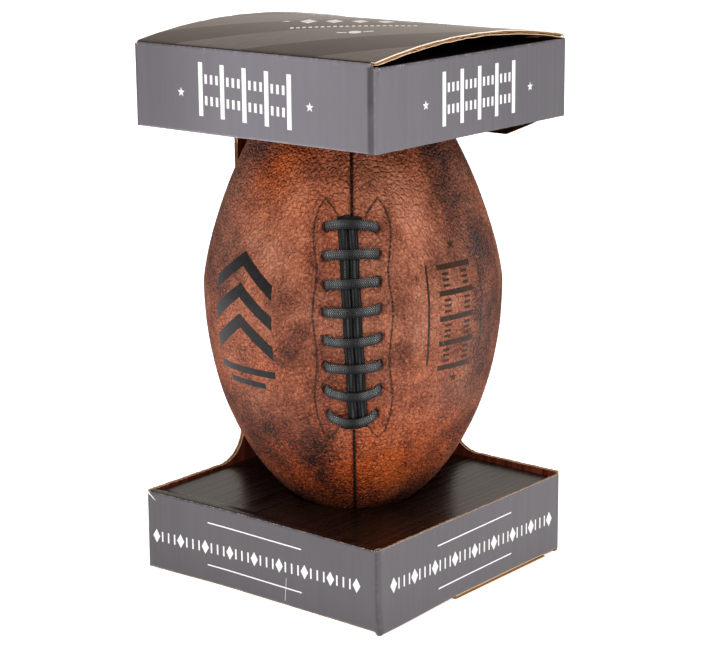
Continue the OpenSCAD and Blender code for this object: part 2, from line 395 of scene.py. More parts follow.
M = {}
M["print_wall"] = make_print("board_print_wall", lin(103, 98, 105))
M["print_base"] = make_print("board_print_base", lin(77, 71, 76), seed=0.31, lid=False)
M["lid_print"] = make_lid_top("board_print_lid_top")
M["dark"] = make_dark("board_dark_varnish")
M["dark_in"] = make_dark("board_dark_lid_inside", "y", 0.46)
M["dark_z"] = make_dark("board_dark_inside", "z")
M["dark_x"] = make_dark("board_dark_flap", "x")
M["spine_in"] = make_dark("board_dark_spine_inside", "z", 0.34, (17.0, 7.0, 5.4))
M["kraft"] = make_kraft("board_kraft", lin(176, 137, 98), lin(206, 168, 128))
M["kraft_y"] = make_kraft("board_kraft_flap", lin(176, 137, 98), lin(206, 168, 128), fibre="y")
M["kraft_x"] = make_kraft("board_kraft_side_flap", lin(176, 137, 98), lin(206, 168, 128), fibre="x")
M["flute"] = make_kraft("board_fluting", lin(140, 100, 64), lin(178, 136, 94))
M["liner_edge"] = make_kraft("board_liner_edge", lin(214, 192, 168), lin(240, 226, 208), scale=1.6)
M["kraft_edge"] = make_kraft("board_kraft_edge", lin(200, 160, 118), lin(236, 198, 156), scale=1.6)
M["ink"] = make_ink("ink_white", lin(236, 234, 234))


# ------------------------------------------------------------------ mesh helpers

def link(name, verts_mm, faces, mats, midx=None, smooth=True, angle=35, attrs=None):
    me = bpy.data.meshes.new(name)
    v = np.asarray(verts_mm, float) * 0.001
    me.from_pydata(v.tolist(), [], [tuple(f) for f in faces])
    for mt in mats:
        me.materials.append(mt)
    if midx is not None:
        me.polygons.foreach_set("material_index", np.asarray(midx, dtype=np.int32))
    for k, a in (attrs or {}).items():
        at = me.attributes.new(k, "FLOAT", "POINT")
        at.data.foreach_set("value", np.asarray(a, dtype=np.float32))
    me.update()
    if smooth:
        me.polygons.foreach_set("use_smooth", np.ones(len(me.polygons), dtype=bool))
        if angle is not None:
            me.set_sharp_from_angle(angle=math.radians(angle))
    me.update()
    o = bpy.data.objects.new(name, me)
    scene.collection.objects.link(o)
    return o


def own(o, body, slot, *nodes):
    if nodes:
        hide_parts(*nodes)
    if isinstance(body, str):
        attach(o, body)
    else:
        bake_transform(o)
    return o


def tidy(o):
    """Merges the vertices that fall on one point, such as at a pole or where a cut runs to nothing."""
    bm = bmesh.new()
    bm.from_mesh(o.data)
    bmesh.ops.remove_doubles(bm, verts=bm.verts, dist=2e-6)
    bm.to_mesh(o.data)
    bm.free()
    o.data.update()


class Bag:
    """Collects the vertices, faces, material indices and wear attribute of one piece."""

    def __init__(self):
        self.v, self.f, self.m, self.w, self.k, self.n = [], [], [], [], [], 0

    def add(self, verts, faces, mat, wear=None, fold=None):
        verts = np.asarray(verts, float).reshape(-1, 3)
        faces = np.asarray(faces) + self.n
        self.v.append(verts)
        self.f.extend(faces.tolist())
        if np.isscalar(mat):
            mat = [mat] * len(faces)
        self.m.extend(mat)
        self.w.append(np.zeros(len(verts)) if wear is None else np.asarray(wear, float).reshape(-1))
        self.k.append(np.zeros(len(verts)) if fold is None else np.asarray(fold, float).reshape(-1))
        self.n += len(verts)

    def obj(self, name, mats, **kw):
        return link(name, np.concatenate(self.v), self.f, mats, self.m, attrs={"wear": np.concatenate(self.w), "fold": np.concatenate(self.k)}, **kw)


def sm(x):
    x = np.clip(x, 0, 1)
    return x * x * (3 - 2 * x)


def frac_hash(a, b=0.0, c=0.0, seed=0.0):
    v = np.sin(a * 12.9898 + b * 78.233 + c * 45.164 + seed * 37.719) * 43758.5453
    return (v - np.floor(v)) * 2 - 1


def hash1(x, seed=0.0):
    """Smooth value noise on a line, from -1 to 1."""
    x = np.asarray(x, float)
    i = np.floor(x)
    f = sm(x - i)
    return frac_hash(i, seed=seed) * (1 - f) + frac_hash(i + 1, seed=seed) * f


def noise3(p, seed=0.0):
    """Smooth value noise in space, from -1 to 1."""
    i = np.floor(p)
    f = sm(p - i)
    out = 0
    for a in (0, 1):
        wa = f[..., 0] if a else 1 - f[..., 0]
        for b in (0, 1):
            wb = f[..., 1] if b else 1 - f[..., 1]
            for c in (0, 1):
                wc = f[..., 2] if c else 1 - f[..., 2]
                out = out + wa * wb * wc * frac_hash(i[..., 0] + a, i[..., 1] + b, i[..., 2] + c, seed)
    return out


def sheet_zone(bag, place, S, spans, d_top, d_bot, mats, tsub, flip, caps, wear, fold=None):
    """A closed sheet over the columns S. spans(s) gives the intervals (t0, t1) that the sheet covers there."""
    iv = np.array([spans(float(s)) for s in S], float)          # n, k, 2
    for j in range(iv.shape[1]):
        Tm = np.array([tsub(a, b) for a, b in iv[:, j]])         # n, m
        n, m = Tm.shape
        Sm = np.repeat(np.asarray(S, float)[:, None], m, 1)
        a = place(Sm, Tm, d_top(Sm, Tm)).reshape(-1, 3)
        b = place(Sm, Tm, d_bot(Sm, Tm)).reshape(-1, 3)
        ia = np.arange(n * m).reshape(n, m)
        ib = ia + n * m
        top = np.stack([ia[:-1, :-1], ia[1:, :-1], ia[1:, 1:], ia[:-1, 1:]], -1).reshape(-1, 4)
        bot = np.stack([ib[:-1, 1:], ib[1:, 1:], ib[1:, :-1], ib[:-1, :-1]], -1).reshape(-1, 4)
        r0 = np.stack([ib[:-1, 0], ib[1:, 0], ia[1:, 0], ia[:-1, 0]], -1)
        r1 = np.stack([ia[:-1, -1], ia[1:, -1], ib[1:, -1], ib[:-1, -1]], -1)
        if callable(mats[0]):
            sc = (Sm[:-1, :-1] + Sm[1:, 1:]).reshape(-1) / 2
            tc = (Tm[:-1, :-1] + Tm[1:, 1:]).reshape(-1) / 2
            mtop = np.asarray(mats[0](sc, tc), int).tolist()
        else:
            mtop = [mats[0]] * len(top)
        parts = [(top, mtop), (bot, [mats[1]] * len(bot)), (r0, [mats[2]] * len(r0)), (r1, [mats[2]] * len(r1))]
        if caps[0]:
            c = np.stack([ia[0, :-1], ia[0, 1:], ib[0, 1:], ib[0, :-1]], -1)
            parts.append((c, [mats[2]] * len(c)))
        if caps[1]:
            c = np.stack([ia[-1, 1:], ia[-1, :-1], ib[-1, :-1], ib[-1, 1:]], -1)
            parts.append((c, [mats[2]] * len(c)))
        F = np.concatenate([p for p, _ in parts])
        mm = sum([q for _, q in parts], [])
        if flip:
            F = F[:, ::-1]
        w = np.zeros(2 * n * m) if wear is None else np.concatenate([wear(Sm, Tm).reshape(-1)] * 2)
        kk = np.zeros(2 * n * m) if fold is None else np.concatenate([fold(Sm, Tm).reshape(-1)] * 2)
        bag.add(np.concatenate([a, b]), F, mm, w, kk)


def even(m, head=0.0, tail=0.0, arc=5, near=0.0):
    """Positions along a span: m even parts, with finer steps over the last head or tail millimetres, where it folds.
    near adds one more step that far from each plain end, for worn edges."""
    def f(t0, t1):
        L = t1 - t0
        hd, tl = min(head, L * 0.4), min(tail, L * 0.4)
        a = [t0 + hd * i / arc for i in range(arc)] if head else []
        b = [t1 - tl + tl * (i + 1) / arc for i in range(arc)] if tail else []
        s, e = t0 + hd, t1 - tl
        mid = [s + (e - s) * i / m for i in range(m + 1)]
        if near:
            q = min(near, (e - s) / m * 0.5)
            if not head:
                mid.insert(1, s + q)
            if not tail:
                mid.insert(-1, e - q)
        return np.array(a + mid + b)
    return f


def board(name, nodes, body, slot, place, zones, front, back, rim_front="liner_edge", rim_back="kraft_edge", tsub=None,
          phase=0.0, wash=0.03, wear=None, fold=None, rough_edge=(False, False), split=None, front2=None, step=0.75, fine=0.56, liner=0.42):
    """A piece of real corrugated board: printed liner, wavy fluting and inner liner. The flutes run along t.
    zones = [(s0, s1, spans, extra columns)]. place(s, t, d) puts depth d, 0 at the printed face, in the row frame."""
    tsub = tsub or even(2)
    flat_place = place
    place = lambda s, t, d: warp(flat_place(s, t, d))
    mats = [M[front], M[rim_front], M["flute"], M[back], M[rim_back], M["kraft"], M[front2 or front]]
    bag = Bag()
    s_lo, s_hi = zones[0][0], zones[-1][1]
    smid = (zones[0][0] + zones[0][1]) / 2 + 0.37
    sp = zones[0][2](smid)[0]
    tm = (sp[0] + sp[1]) / 2
    P = lambda s, t, d: place(np.array([float(s)]), np.array([float(t)]), np.array([float(d)]))[0]
    n = np.cross(P(smid + 0.2, tm, 0) - P(smid, tm, 0), P(smid, tm + 0.2, 0) - P(smid, tm, 0))
    flip = bool(np.dot(n, P(smid, tm, 0) - P(smid, tm, 1)) < 0)
    l0, l1, fl = liner, 0.36, 0.26
    amp = (T - l0 - l1 - fl) / 2
    mid = l0 + fl / 2 + amp

    def w_out(s, t):
        return wash * (0.5 - 0.5 * np.cos(2 * PI * (s + phase) / PITCH)) if wash else np.zeros_like(s)

    def pinch(s, t):
        """How far a die-cut side edge is crushed, 0 to 1."""
        v = np.zeros_like(s)
        if rough_edge[0]:
            v = np.maximum(v, np.clip(1 - (s - s_lo) / 2.6, 0, 1) ** 1.5)
        if rough_edge[1]:
            v = np.maximum(v, np.clip(1 - (s_hi - s) / 2.6, 0, 1) ** 1.5)
        return v

    def crush(s, t):
        return pinch(s, t) * (0.2 + 0.25 * hash1(t / 7.0, 3.0) + 0.12 * hash1(t / 2.3, 5.0))

    def f_mid(s, t):
        wob = pinch(s, t)
        ph = 2 * PI * (s + phase) / PITCH + wob * (1.2 * hash1(t / 9.0, 1.0) + 2.4 * hash1(t / 1.5, 2.0))
        return mid + (amp - 0.02) * np.sin(ph) * (1 - 0.35 * wob) + 0.2 * crush(s, t)

    lip = 0.32 if any(rough_edge) else 0.0

    def top0(s, t):
        m = np.where(split(s, t), 6, 0) if split else np.zeros(len(s), int)
        if rough_edge[0]:
            m = np.where(s < s_lo + lip, 1, m)
        if rough_edge[1]:
            m = np.where(s > s_hi - lip, 1, m)
        return m
    front_top = lambda s, t: w_out(s, t) + crush(s, t) * 0.5
    front_bot = lambda s, t: l0 + crush(s, t) * 0.5
    back_top = lambda s, t: T - l1 - crush(s, t) * 0.8
    back_bot = lambda s, t: T - crush(s, t) * 0.8
    for zi, (a, b, spans, extra) in enumerate(zones):
        cp = (zi == 0, zi == len(zones) - 1)
        cols = list(np.linspace(a, b, max(2, int(round((b - a) / step)) + 1))) + list(extra)
        fin = list(np.linspace(a, b, max(2, int(round((b - a) / fine)) + 1))) + list(extra)
        for on, edge, sg in ((rough_edge[0] and cp[0], a, 1), (rough_edge[1] and cp[1], b, -1)):
            if on:
                cols += [edge + sg * v for v in (0.15, 0.4, 0.9, 1.4, 2.0)]
                fin += [edge + sg * v for v in (0.12, 0.3, 0.75, 1.2)]
        cols, fin = [np.unique(np.round([v for v in c if a - 1e-6 <= v <= b + 1e-6], 4)) for c in (cols, fin)]
        sheet_zone(bag, place, cols, spans, front_top, front_bot, (top0, 5, 1), tsub, flip, cp, wear, fold)
        sheet_zone(bag, place, cols, spans, back_top, back_bot, (5, 3, 4), tsub, flip, cp, wear)
        sheet_zone(bag, place, fin, spans, lambda s, t: f_mid(s, t) - fl / 2, lambda s, t: f_mid(s, t) + fl / 2,
                   (2, 2, 2), tsub, flip, cp, None)
    return own(bag.obj(name, mats, angle=38), body, slot, *nodes)


# ------------------------------------------------------------------ folds and places

RC = 2.3                     # outer radius of the upright folds
RF = 1.6                     # outer radius of the level folds
BT, BBT, LB, LT = 48.6, 50.1, 261.6, 306.0
CORNER_R = {"A": (1.0, RC), "B": (RC, 1.0), "C": (1.0, 1.0), "D": (1.0, 1.0)}   # at the -u and +u ends of each wall


def umax(r):
    """Each wall goes half way round its corner folds."""
    return H - r + r * PI / 4


def ends(side, sgn=1):
    lo, hi = CORNER_R[side] if sgn > 0 else CORNER_R[side][::-1]
    cols = [-(H - lo + lo * PI / 4 * i / 5) for i in range(6)] + [H - hi + hi * PI / 4 * i / 5 for i in range(6)]
    return -umax(lo), umax(hi), cols


def corner_r(side, u):
    lo, hi = CORNER_R[side]
    return np.where(u > 0, hi, lo)


def kappa(dist, r):
    """How thick the board is beside a fold: pressed thin in it, whole 2.5 mm away."""
    k = np.minimum(1.0, (r - 0.12) / T)
    return k + (1 - k) * sm(np.maximum(dist, 0) / 2.5)


def wall_place(side, top=None, bot=None, bulge=None, flat=83.2):
    """Maps (u, z, d) to the row frame for a wall on side A (-Y), B (+X), C (+Y) or D (-X). top and bot are
    (height, radius) of the level folds, and flat is how far out along u those folds go."""
    def f(u, z, d):
        u, z, d = np.broadcast_arrays(np.asarray(u, float), np.asarray(z, float), np.asarray(d, float))
        au = np.abs(u)
        w = sm((flat - au) / 1.2 + 0.5)
        rc = corner_r(side, u)
        k = kappa(H - rc - au, RC)
        if top:
            k = np.minimum(k, 1 - w * (1 - kappa(top[0] - top[1] - z, top[1])))
        if bot:
            k = np.minimum(k, 1 - w * (1 - kappa(z - bot[0] - bot[1], bot[1])))
        dd = d * k
        dep, zz = dd.copy(), z.copy()
        if top:
            zc, r = top[0] - top[1], top[1]
            a = np.clip((z - zc) / r, 0, PI)
            rr = np.maximum(r - dd, 0.05)
            m = z > zc
            zz = np.where(m, w * (zc + rr * np.sin(a)) + (1 - w) * z, zz)
            dep = np.where(m, w * (r - rr * np.cos(a)) + (1 - w) * dd, dep)
        if bot:
            zc, r = bot[0] + bot[1], bot[1]
            a = np.clip((zc - z) / r, 0, PI)
            rr = np.maximum(r - dd, 0.05)
            m = z < zc
            zz = np.where(m, w * (zc - rr * np.sin(a)) + (1 - w) * z, zz)
            dep = np.where(m, w * (r - rr * np.cos(a)) + (1 - w) * dd, dep)
        if bulge is not None:
            dep = dep + bulge(u, z)
        over = np.clip((au - (H - rc)) / rc, 0, PI / 2)
        # inside a tight fold the board's layers crowd towards the corner's inner line
        rr = rc - dep
        out = au > H - rc
        along = np.where(out, (H - rc) + rr * np.sin(over) + np.minimum(rr, 0) * (1 - np.sin(over)), au) * np.sign(u)
        depth = np.where(out, rc - rr * np.cos(over), dep)
        if side == "A":
            q = np.stack([along, -H + depth, zz], -1)
        elif side == "B":
            q = np.stack([H - depth, along, zz], -1)
        elif side == "C":
            q = np.stack([along, H - depth, zz], -1)
        else:
            q = np.stack([-H + depth, along, zz], -1)
        return q
    return f


def warp(q):
    """The real tray isn't quite square: the base's front wall leans out at its left end, and the right wall's foot
    hangs low at the front corner."""
    x, y, z = q[..., 0], q[..., 1], q[..., 2]
    k = sm((-x - 20) / 65) * sm((-y - 35) / 50) * (1 - sm((z - 50) / 12))
    f = sm((x - 78) / 6) * sm((-y + 2) / 86) * (1 - sm((z - 2) / 14))
    drop = 1.5 * f * sm((x - 82.0) / 1.5)
    return np.stack([x + 1.5 * f, y - k * (2.5 - 0.4 * z / 48.6), np.maximum(z - drop, np.minimum(z, 0.03))], -1)


def wear_map(ztop=None, zbot=None, reach=1.4, k=1.0, corner=0.35):
    def f(s, t):
        w = np.zeros_like(s)
        if ztop is not None:
            w = np.maximum(w, np.clip(1 - np.abs(t - ztop) / reach, 0, 1))
        if zbot is not None:
            w = np.maximum(w, 0.8 * np.clip(1 - np.abs(t - zbot) / reach, 0, 1))
        w = np.maximum(w, corner * np.clip(1 - np.abs(H - RC * 0.35 - np.abs(s)) / 1.2, 0, 1))
        return w * k
    return f


def fold_shade_map(lo, hi, wlo=1.3, whi=2.4):
    """How dark the painted shade along the upright folds is at the -u and +u ends."""
    def f(s, t):
        a = np.clip(1 - np.maximum(H - whi - s, 0) / 0.8, 0, 1) * hi
        b = np.clip(1 - np.maximum(H - wlo + s, 0) / 0.8, 0, 1) * lo
        return np.maximum(a, b) * (0.85 + 0.15 * hash1(t / 3.0, 5.0))
    return f


def crushed(place, ztop):
    """The board's bare top edge is knocked thinner and uneven."""
    def f(u, z, d):
        u, z, d = np.broadcast_arrays(np.asarray(u, float), np.asarray(z, float), np.asarray(d, float))
        k = np.exp(-((ztop - z) / 1.6) ** 2) * (0.34 + 0.16 * hash1(u / 5.0, 31.0) + 0.1 * hash1(u / 1.7, 32.0))
        return place(u, z, 0.25 * k + d * (1 - k))
    return f


def at_flat(s, inner, outer, flat=83.2):
    """inner where the level fold is, outer beside it at the corner, with a short step between."""
    w = float(sm((flat - abs(s)) / 0.6 + 0.5))
    return w * inner + (1 - w) * outer


QUARTER = RF * PI / 4
ENDS_A, ENDS_B = ends("A"), ends("B")


def glue_bulge(k):
    """The wall stands a hair proud over the edge of the glue flap behind it."""
    def f(u, z):
        x = H - u
        return -0.0 * x + k * sm((x - 18) / 4.0) * sm((x > 3) * 1.0) * np.exp(-np.maximum(x - 22, 0) / 40.0)
    return f


# ------------------------------------------------------------------ base tray

board("base_wall_front_board", ["base_wall_front"], "case", "printed_board",
      wall_place("A", (BT, RF), (1.6, 1.3), glue_bulge(0.12)),
      [(ENDS_A[0], ENDS_A[1], lambda s: [(at_flat(s, 2.9 - 1.3 * PI / 4, 1.9), at_flat(s, BT - RF + QUARTER, BT - 0.45 - 0.2 * abs(float(hash1(s / 0.5, 2.0)))))], ENDS_A[2])],
      "print_base", "dark_z", tsub=even(5, 1.6, 2.0, 6), wear=wear_map(BT - 0.2, 2.2, 1.2, 1.0), fold=fold_shade_map(0.35, 0.7, 1.0, 1.2), wash=0.02)

board("base_wall_right_board", ["base_wall_right"], "case", "printed_board",
      crushed(wall_place("B", None, (1.6, 1.3)), BT),
      [(ENDS_B[0], ENDS_B[1], lambda s: [(at_flat(s, 2.9 - 1.3 * PI / 4, 1.9),
                                 BT - 0.2 - 0.2 * abs(float(hash1(s / 2.1, 9.0))) - 0.12 * float(hash1(s / 0.9, 4.0)))], ENDS_B[2])],
      "print_base", "dark_z", tsub=even(5, 1.6, 0, 6, 0.7), wear=wear_map(BT, 2.2, 1.0), fold=fold_shade_map(0.42, 0.3, 3.4, 1.3), wash=0.01, rim_back="dark_z")


def level_place(z_face, sgn, rise=None, r=RF, crease=0.0, far=None):
    """A level panel that goes on from wall A's fold. sgn is +1 if its printed face looks up, -1 if down.
    rise(t) lifts the panel's own face away from the fold's height."""
    def f(s, t, d):
        s, t, d = np.broadcast_arrays(np.asarray(s, float), np.asarray(t, float), np.asarray(d, float))
        yc = -H + r
        dd = d * kappa(t - yc, r)
        a = PI / 2 - (yc - t) / r
        rr = np.maximum(r - dd, 0.05)
        zf = z_face + (rise(t) if rise else 0.0) - sgn * crease * np.exp(-((t - yc - 0.8) / 0.55) ** 2)
        m = t < yc
        y = np.where(m, yc - rr * np.cos(a), t)
        z = np.where(m, z_face - sgn * r + sgn * rr * np.sin(a), zf - sgn * dd)
        return np.stack([s, y, z], -1)
    return f


def hole_zones(s_end, t0, t1, z, edge_jit=0.08):
    """Zones and spans of a panel from t0 to t1 with the ball's hole through it at height z."""
    r = ball_R(z - BALL[2]) + 0.45
    cx, cy = BALL[0], BALL[1]

    def two(s):
        hh = math.sqrt(max(r * r - (s - cx) ** 2, 0.0)) + edge_jit * float(hash1(s / 1.3, 2.0)) * (abs(s - cx) < r - 0.5)
        return [(t0(s), cy - hh), (cy + hh, t1(s))]
    one = lambda s: [(t0(s), t1(s))]
    ring = [cx + r * math.sin(PI * i / 120 - PI / 2) for i in range(121)]
    return [(-s_end, cx - r, one, []), (cx - r, cx + r, two, ring), (cx + r, s_end, one, [])], r


def ball_R(z):
    """Radius of the ball's skin at height z above its centre."""
    z = np.asarray(z, float)
    lo = np.clip(1 - np.clip(-z / 142, 0, 1) ** 2.029, 0, 1) ** (1 / 1.875)
    hi = np.clip(1 - np.clip(z / 137, 0, 1) ** 1.373, 0, 1) ** (1 / 1.736)
    return np.where(z < 0, lo, hi) * 85.2


def num(f):
    return lambda z: float(f(z))


zones_b, HOLE_B = hole_zones(HI - 0.15, lambda s: -H + RF - QUARTER, lambda s: HI - 1.0, 46.8)
board("base_ball_panel_board", ["base_ball_panel"], "case", "dark_board",
      level_place(BT, 1, lambda t: -1.8 * sm((t + 83.0) / 9.0), RF, 0.28),
      zones_b, "dark", "kraft_y", tsub=even(4, 13.0, 0, 20, 0.6), wash=0.022,
      wear=lambda s, t: 0.8 * np.clip(1 - np.abs(t + H) / 0.9, 0, 1)
      + 0.5 * np.clip(1 - np.abs(np.hypot(s - BALL[0], t - BALL[1]) - HOLE_B) / 0.7, 0, 1))

board("base_ball_panel_flap_board", ["base_ball_panel_flap"], "case", "dark_board",
      lambda s, t, d: np.stack(np.broadcast_arrays(s, HI - 0.05 - d, t), -1),
      [(-80, -76, lambda s: [(44.2 - (s + 80) / 4 * 22.2, 44.2)], []), (-76, 76, lambda s: [(22.0, 44.2)], []),
       (76, 80, lambda s: [(44.2 - (80 - s) / 4 * 22.2, 44.2)], [])],
      "dark_z", "kraft", tsub=even(2), wash=0)

board("base_glue_flap_board", ["base_glue_flap"], "case", "glue_flap_board",
      lambda s, t, d: np.stack(np.broadcast_arrays(s, -HI + 0.05 + d, t), -1),
      [(HI - 25, HI - 0.1, lambda s: [(15 - (s - (HI - 25)) / 25 * 6, BT - 12 + (s - (HI - 25)) / 25 * 4)], [])],
      "kraft", "dark_z", tsub=even(2), wash=0)


# ------------------------------------------------------------------ bottom flaps

def flap_place(z_face, rise=0.0, at="A"):
    """A bottom flap, its outer face looking down at z_face. It leaves the wall's fold a little lower by rise."""
    def f(s, t, d):
        s, t, d = np.broadcast_arrays(np.asarray(s, float), np.asarray(t, float), np.asarray(d, float))
        e = t + H if at == "A" else (H - np.abs(t))
        z = z_face - rise * (1 - sm((e - 1.0) / 5.0)) + d * kappa(e - 1.3, 1.6)
        if at in ("A", "C"):
            return np.stack([s, t, z], -1)
        return np.stack([t, s, z], -1)
    return f


board("bottom_flap_back_board", ["bottom_flap_back"], "case", "kraft_board",
      lambda s, t, d: np.stack(np.broadcast_arrays(s, t, 0.02 + d * 0.99), -1),
      [(-H, -HI, lambda s: [(H - 101.5, H - 14)], []), (-HI, HI, lambda s: [(H - 101.5, HI - 0.05)], []),
       (HI, H, lambda s: [(H - 101.5, H - 14)], [])],
      "kraft_y", "kraft_y", rim_front="kraft_edge", tsub=even(2), rough_edge=(True, True), wash=0.03)

board("bottom_flap_front_board", ["bottom_flap_front"], "case", "kraft_board",
      flap_place(2.85, 1.2, "A"),
      [(-80, -72, lambda s: [(-84.2, 12 - (-72 - s) / 8 * 90)], []), (-72, 72, lambda s: [(-84.2, 12)], []),
       (72, 80, lambda s: [(-84.2, 12 - (s - 72) / 8 * 90)], [])],
      "kraft_y", "kraft_y", rim_front="kraft_edge", tsub=even(2, 7.0, 0, 6), wash=0.03)

for nm, sg in (("left", -1), ("right", 1)):
    def side_spans(s, sg=sg):
        x0 = 10 + max(0.0, abs(s) - 60) / 18 * 70
        return [(x0 * sg, 84.2 * sg)] if sg > 0 else [(-84.2, -x0)]
    board("bottom_flap_%s_board" % nm, ["bottom_flap_" + nm], "case", "kraft_board",
          flap_place(5.65, 1.2, "B"),
          [(-78, -60, side_spans, []), (-60, 60, side_spans, []), (60, 78, side_spans, [])],
          "kraft_x", "kraft_x", rim_front="kraft_edge", tsub=even(2, 7.0 if sg < 0 else 0, 7.0 if sg > 0 else 0, 6), wash=0.03)


# ------------------------------------------------------------------ back and left panels with their spine

def jag(s, k=1.0, seed=6.0):
    return k * (0.16 * float(hash1(s / 1.7, seed)) + 0.1 * float(hash1(s / 0.8, seed + 1)))


def spine_board(name, node, side, sgn, zb, zlow, top, bot, dust):
    """Columns run in w = sgn * u from the rear corner to the free end. The spine covers w below its edge."""
    e, r = 6.5, 20.0

    def up(v):
        v = min(max(v, 0.0), r)
        return zb + r - math.sqrt(max(r * r - (r - v) ** 2, 0.0))

    def dn(v):
        v = min(max(v, 0.0), r)
        return LB - r + math.sqrt(max(r * r - (r - v) ** 2, 0.0))

    base = wall_place(side, top, bot)
    w0, w1, cols = ends(side, sgn)
    place = lambda w, t, d: base(sgn * np.asarray(w, float), t, d)
    zlo = lambda s: at_flat(s, 2.9 - 1.3 * PI / 4, 1.9) if bot else 0.02
    zhi = lambda s: dust(s) if dust else LT - 0.15 - 0.12 * abs(float(hash1(s / 1.1, 12.0)))
    full = lambda s: [(zlo(s), zhi(s))]
    two = lambda s: [(zlo(s), up(s - e) + jag(s)), (dn(s - e) + jag(s, 1, 8.0), zhi(s))]
    arcs = [e + r * (1 - math.cos(q * PI / 2 / 16)) for q in range(0, 17)] + [e + 0.004, e + 0.02]
    return board(name, [node], "case", "printed_board", place,
                 [(w0, e, full, cols), (e, w1, two, cols + arcs)],
                 "print_wall", "spine_in", tsub=even(6, 1.6 if bot else 0, 2.0 if top else 0, 5, 0.7),
                 wear=lambda s, t: np.zeros_like(s), fold=fold_shade_map(0.3, 0.3, 1.3, 1.3))


DUST_TOP = (LT, 1.5)


def dust_end(s):
    """Height of the walls' tops: lower where a dust flap folds in, and standing up beside the front corners."""
    if -80.6 < s < 77.7:
        return 303.9
    return LT - 0.2 + (1.6 * float(sm((-80.8 - s) / 2.2)) if s < 0 else 0.0)


spine_board("back_panel_board", "back_panel", "C", 1, BBT, 0.0, None, None, None)
# on the left panel w = -u, and the dust flap spans u from -80.9 to 78
spine_board("left_panel_board", "left_panel", "D", -1, BT, 1.6, DUST_TOP, (1.6, 1.3), lambda w: dust_end(-w))


# ------------------------------------------------------------------ lid tray

BOW_R = (83.95 ** 2 + 7.5 ** 2) / 15
BOW_Y, BOW_Z = -1.55, 308.8 + 7.5 - BOW_R
LF = 1.7
# centres of the folds at the lid panel's front and far ends, and where their arcs meet the bow
FRONT_C = (-83.8, 307.376)
FRONT_A = math.asin(82.546 / BOW_R)
FRONT_Y = FRONT_C[0] - LF * math.sin(FRONT_A)
FAR_Y = 80.45 + LF * math.sin(FRONT_A)
FAR_A = math.asin((FAR_Y - BOW_Y) / BOW_R)
FAR_C = (80.45, BOW_Z + (BOW_R - LF) * math.cos(FAR_A) + 0.0)
LIDTOP = (FRONT_C[1] + LF, LF)

board("lid_wall_front_board", ["lid_wall_front"], "case", "printed_board",
      wall_place("A", LIDTOP, (LB, 1.5), glue_bulge(0.12)),
      [(ENDS_A[0], ENDS_A[1], lambda s: [(at_flat(s, LB + 1.5 - 1.5 * PI / 4, LB + 0.25), at_flat(s, 306.4, 307.7))], ENDS_A[2])],
      "print_wall", "dark_z", tsub=even(5, 1.6, 1.4, 5), wear=wear_map(307.0, LB + 0.7, 1.0, 0.8), fold=fold_shade_map(0.5, 0.86, 1.2, 3.8))

board("lid_wall_right_board", ["lid_wall_right"], "case", "printed_board",
      wall_place("B", DUST_TOP, None, None, 200.0),
      [(ENDS_B[0], ENDS_B[1], lambda s: [(LB + 0.15 + 0.12 * abs(float(hash1(s / 1.2, 21.0))), dust_end(s))], ENDS_B[2])],
      "print_wall", "dark_z", tsub=even(5, 0, 1.4, 4, 0.7), wear=wear_map(305.2, LB, 1.0, 0.9), fold=fold_shade_map(0.5, 0.3, 0.4, 1.3))

board("lid_glue_flap_board", ["lid_glue_flap"], "case", "glue_flap_board",
      lambda s, t, d: np.stack(np.broadcast_arrays(s, -HI + 0.05 + d, t), -1),
      [(HI - 25, HI - 0.1, lambda s: [(LB + 10 - (s - (HI - 25)) / 25 * 4, LT - 9 + (s - (HI - 25)) / 25 * 4)], [])],
      "kraft", "dark_z", tsub=even(2), wash=0)

zones_l, HOLE_L = hole_zones(HI - 0.15, lambda s: -H + 1.5 - 1.5 * PI / 4, lambda s: HI - 1.0, 261.6)
board("lid_ball_panel_board", ["lid_ball_panel"], "case", "dark_board",
      level_place(LB, -1, None, 1.5, 0.2), zones_l, "dark", "kraft_y", tsub=even(3, 3.0, 0, 6, 0.6),
      wear=lambda s, t: 0.6 * np.clip(1 - np.abs(t + H) / 0.9, 0, 1))


def hang_spans(s):
    a = abs(s)
    z = LB - 13.4 if a < 49 else (LB - 13.0 + (a - 49) / 15 * 6.4 if a < 64 else LB - 6.6 + (a - 64) / 13 * 6.4)
    return [(z + 0.05 * float(hash1(s / 1.1, 3.0)), LB + 0.1)]


board("lid_ball_panel_flap_board", ["lid_ball_panel_flap"], "case", "dark_board",
      lambda s, t, d: np.stack(np.broadcast_arrays(s, HI - 0.05 - d, t), -1),
      [(-77, -64, hang_spans, []), (-64, -49, hang_spans, []), (-49, 49, hang_spans, []), (49, 64, hang_spans, []), (64, 77, hang_spans, [])],
      "dark_z", "dark_z", tsub=even(2), wash=0.03)

fold_wear = lambda s, t: np.clip(1 - np.abs(t - 308.0) / 0.9, 0, 1) * (0.42 + 0.2 * np.cos(2 * PI * (s + 1.1) / PITCH)) + 0.1


def front_fold_place(u, z, d):
    """Wall A's top fold. It is notched where each flute is pressed flat."""
    d = np.asarray(d, float)
    a = np.clip((np.asarray(z, float) - FRONT_C[1]) / LF, 0, 2)
    notch = 0.13 * np.exp(-((a - 0.75) / 0.42) ** 2) * (0.5 + 0.5 * np.cos(2 * PI * np.asarray(u, float) / PITCH)) ** 2
    return wall_place("A", LIDTOP, None, None, 200.0)(u, z, d + notch)


# painted shade: the fold's upper part is drawn in the near-black varnish material along its rounding
board("lid_front_fold", [], ("case", "lid_top", (0, -85.5, 306.5), (0, -84.1, 309.0)), "printed_board",
      front_fold_place, [(-83.1, 83.1, lambda s: [(306.4, FRONT_C[1] + LF * (PI / 2 - FRONT_A))], [])],
      "print_wall", "dark_z", front2="dark", split=lambda s, t: t > FRONT_C[1] + LF * 0.72,
      tsub=even(8), wear=fold_wear, step=0.5)


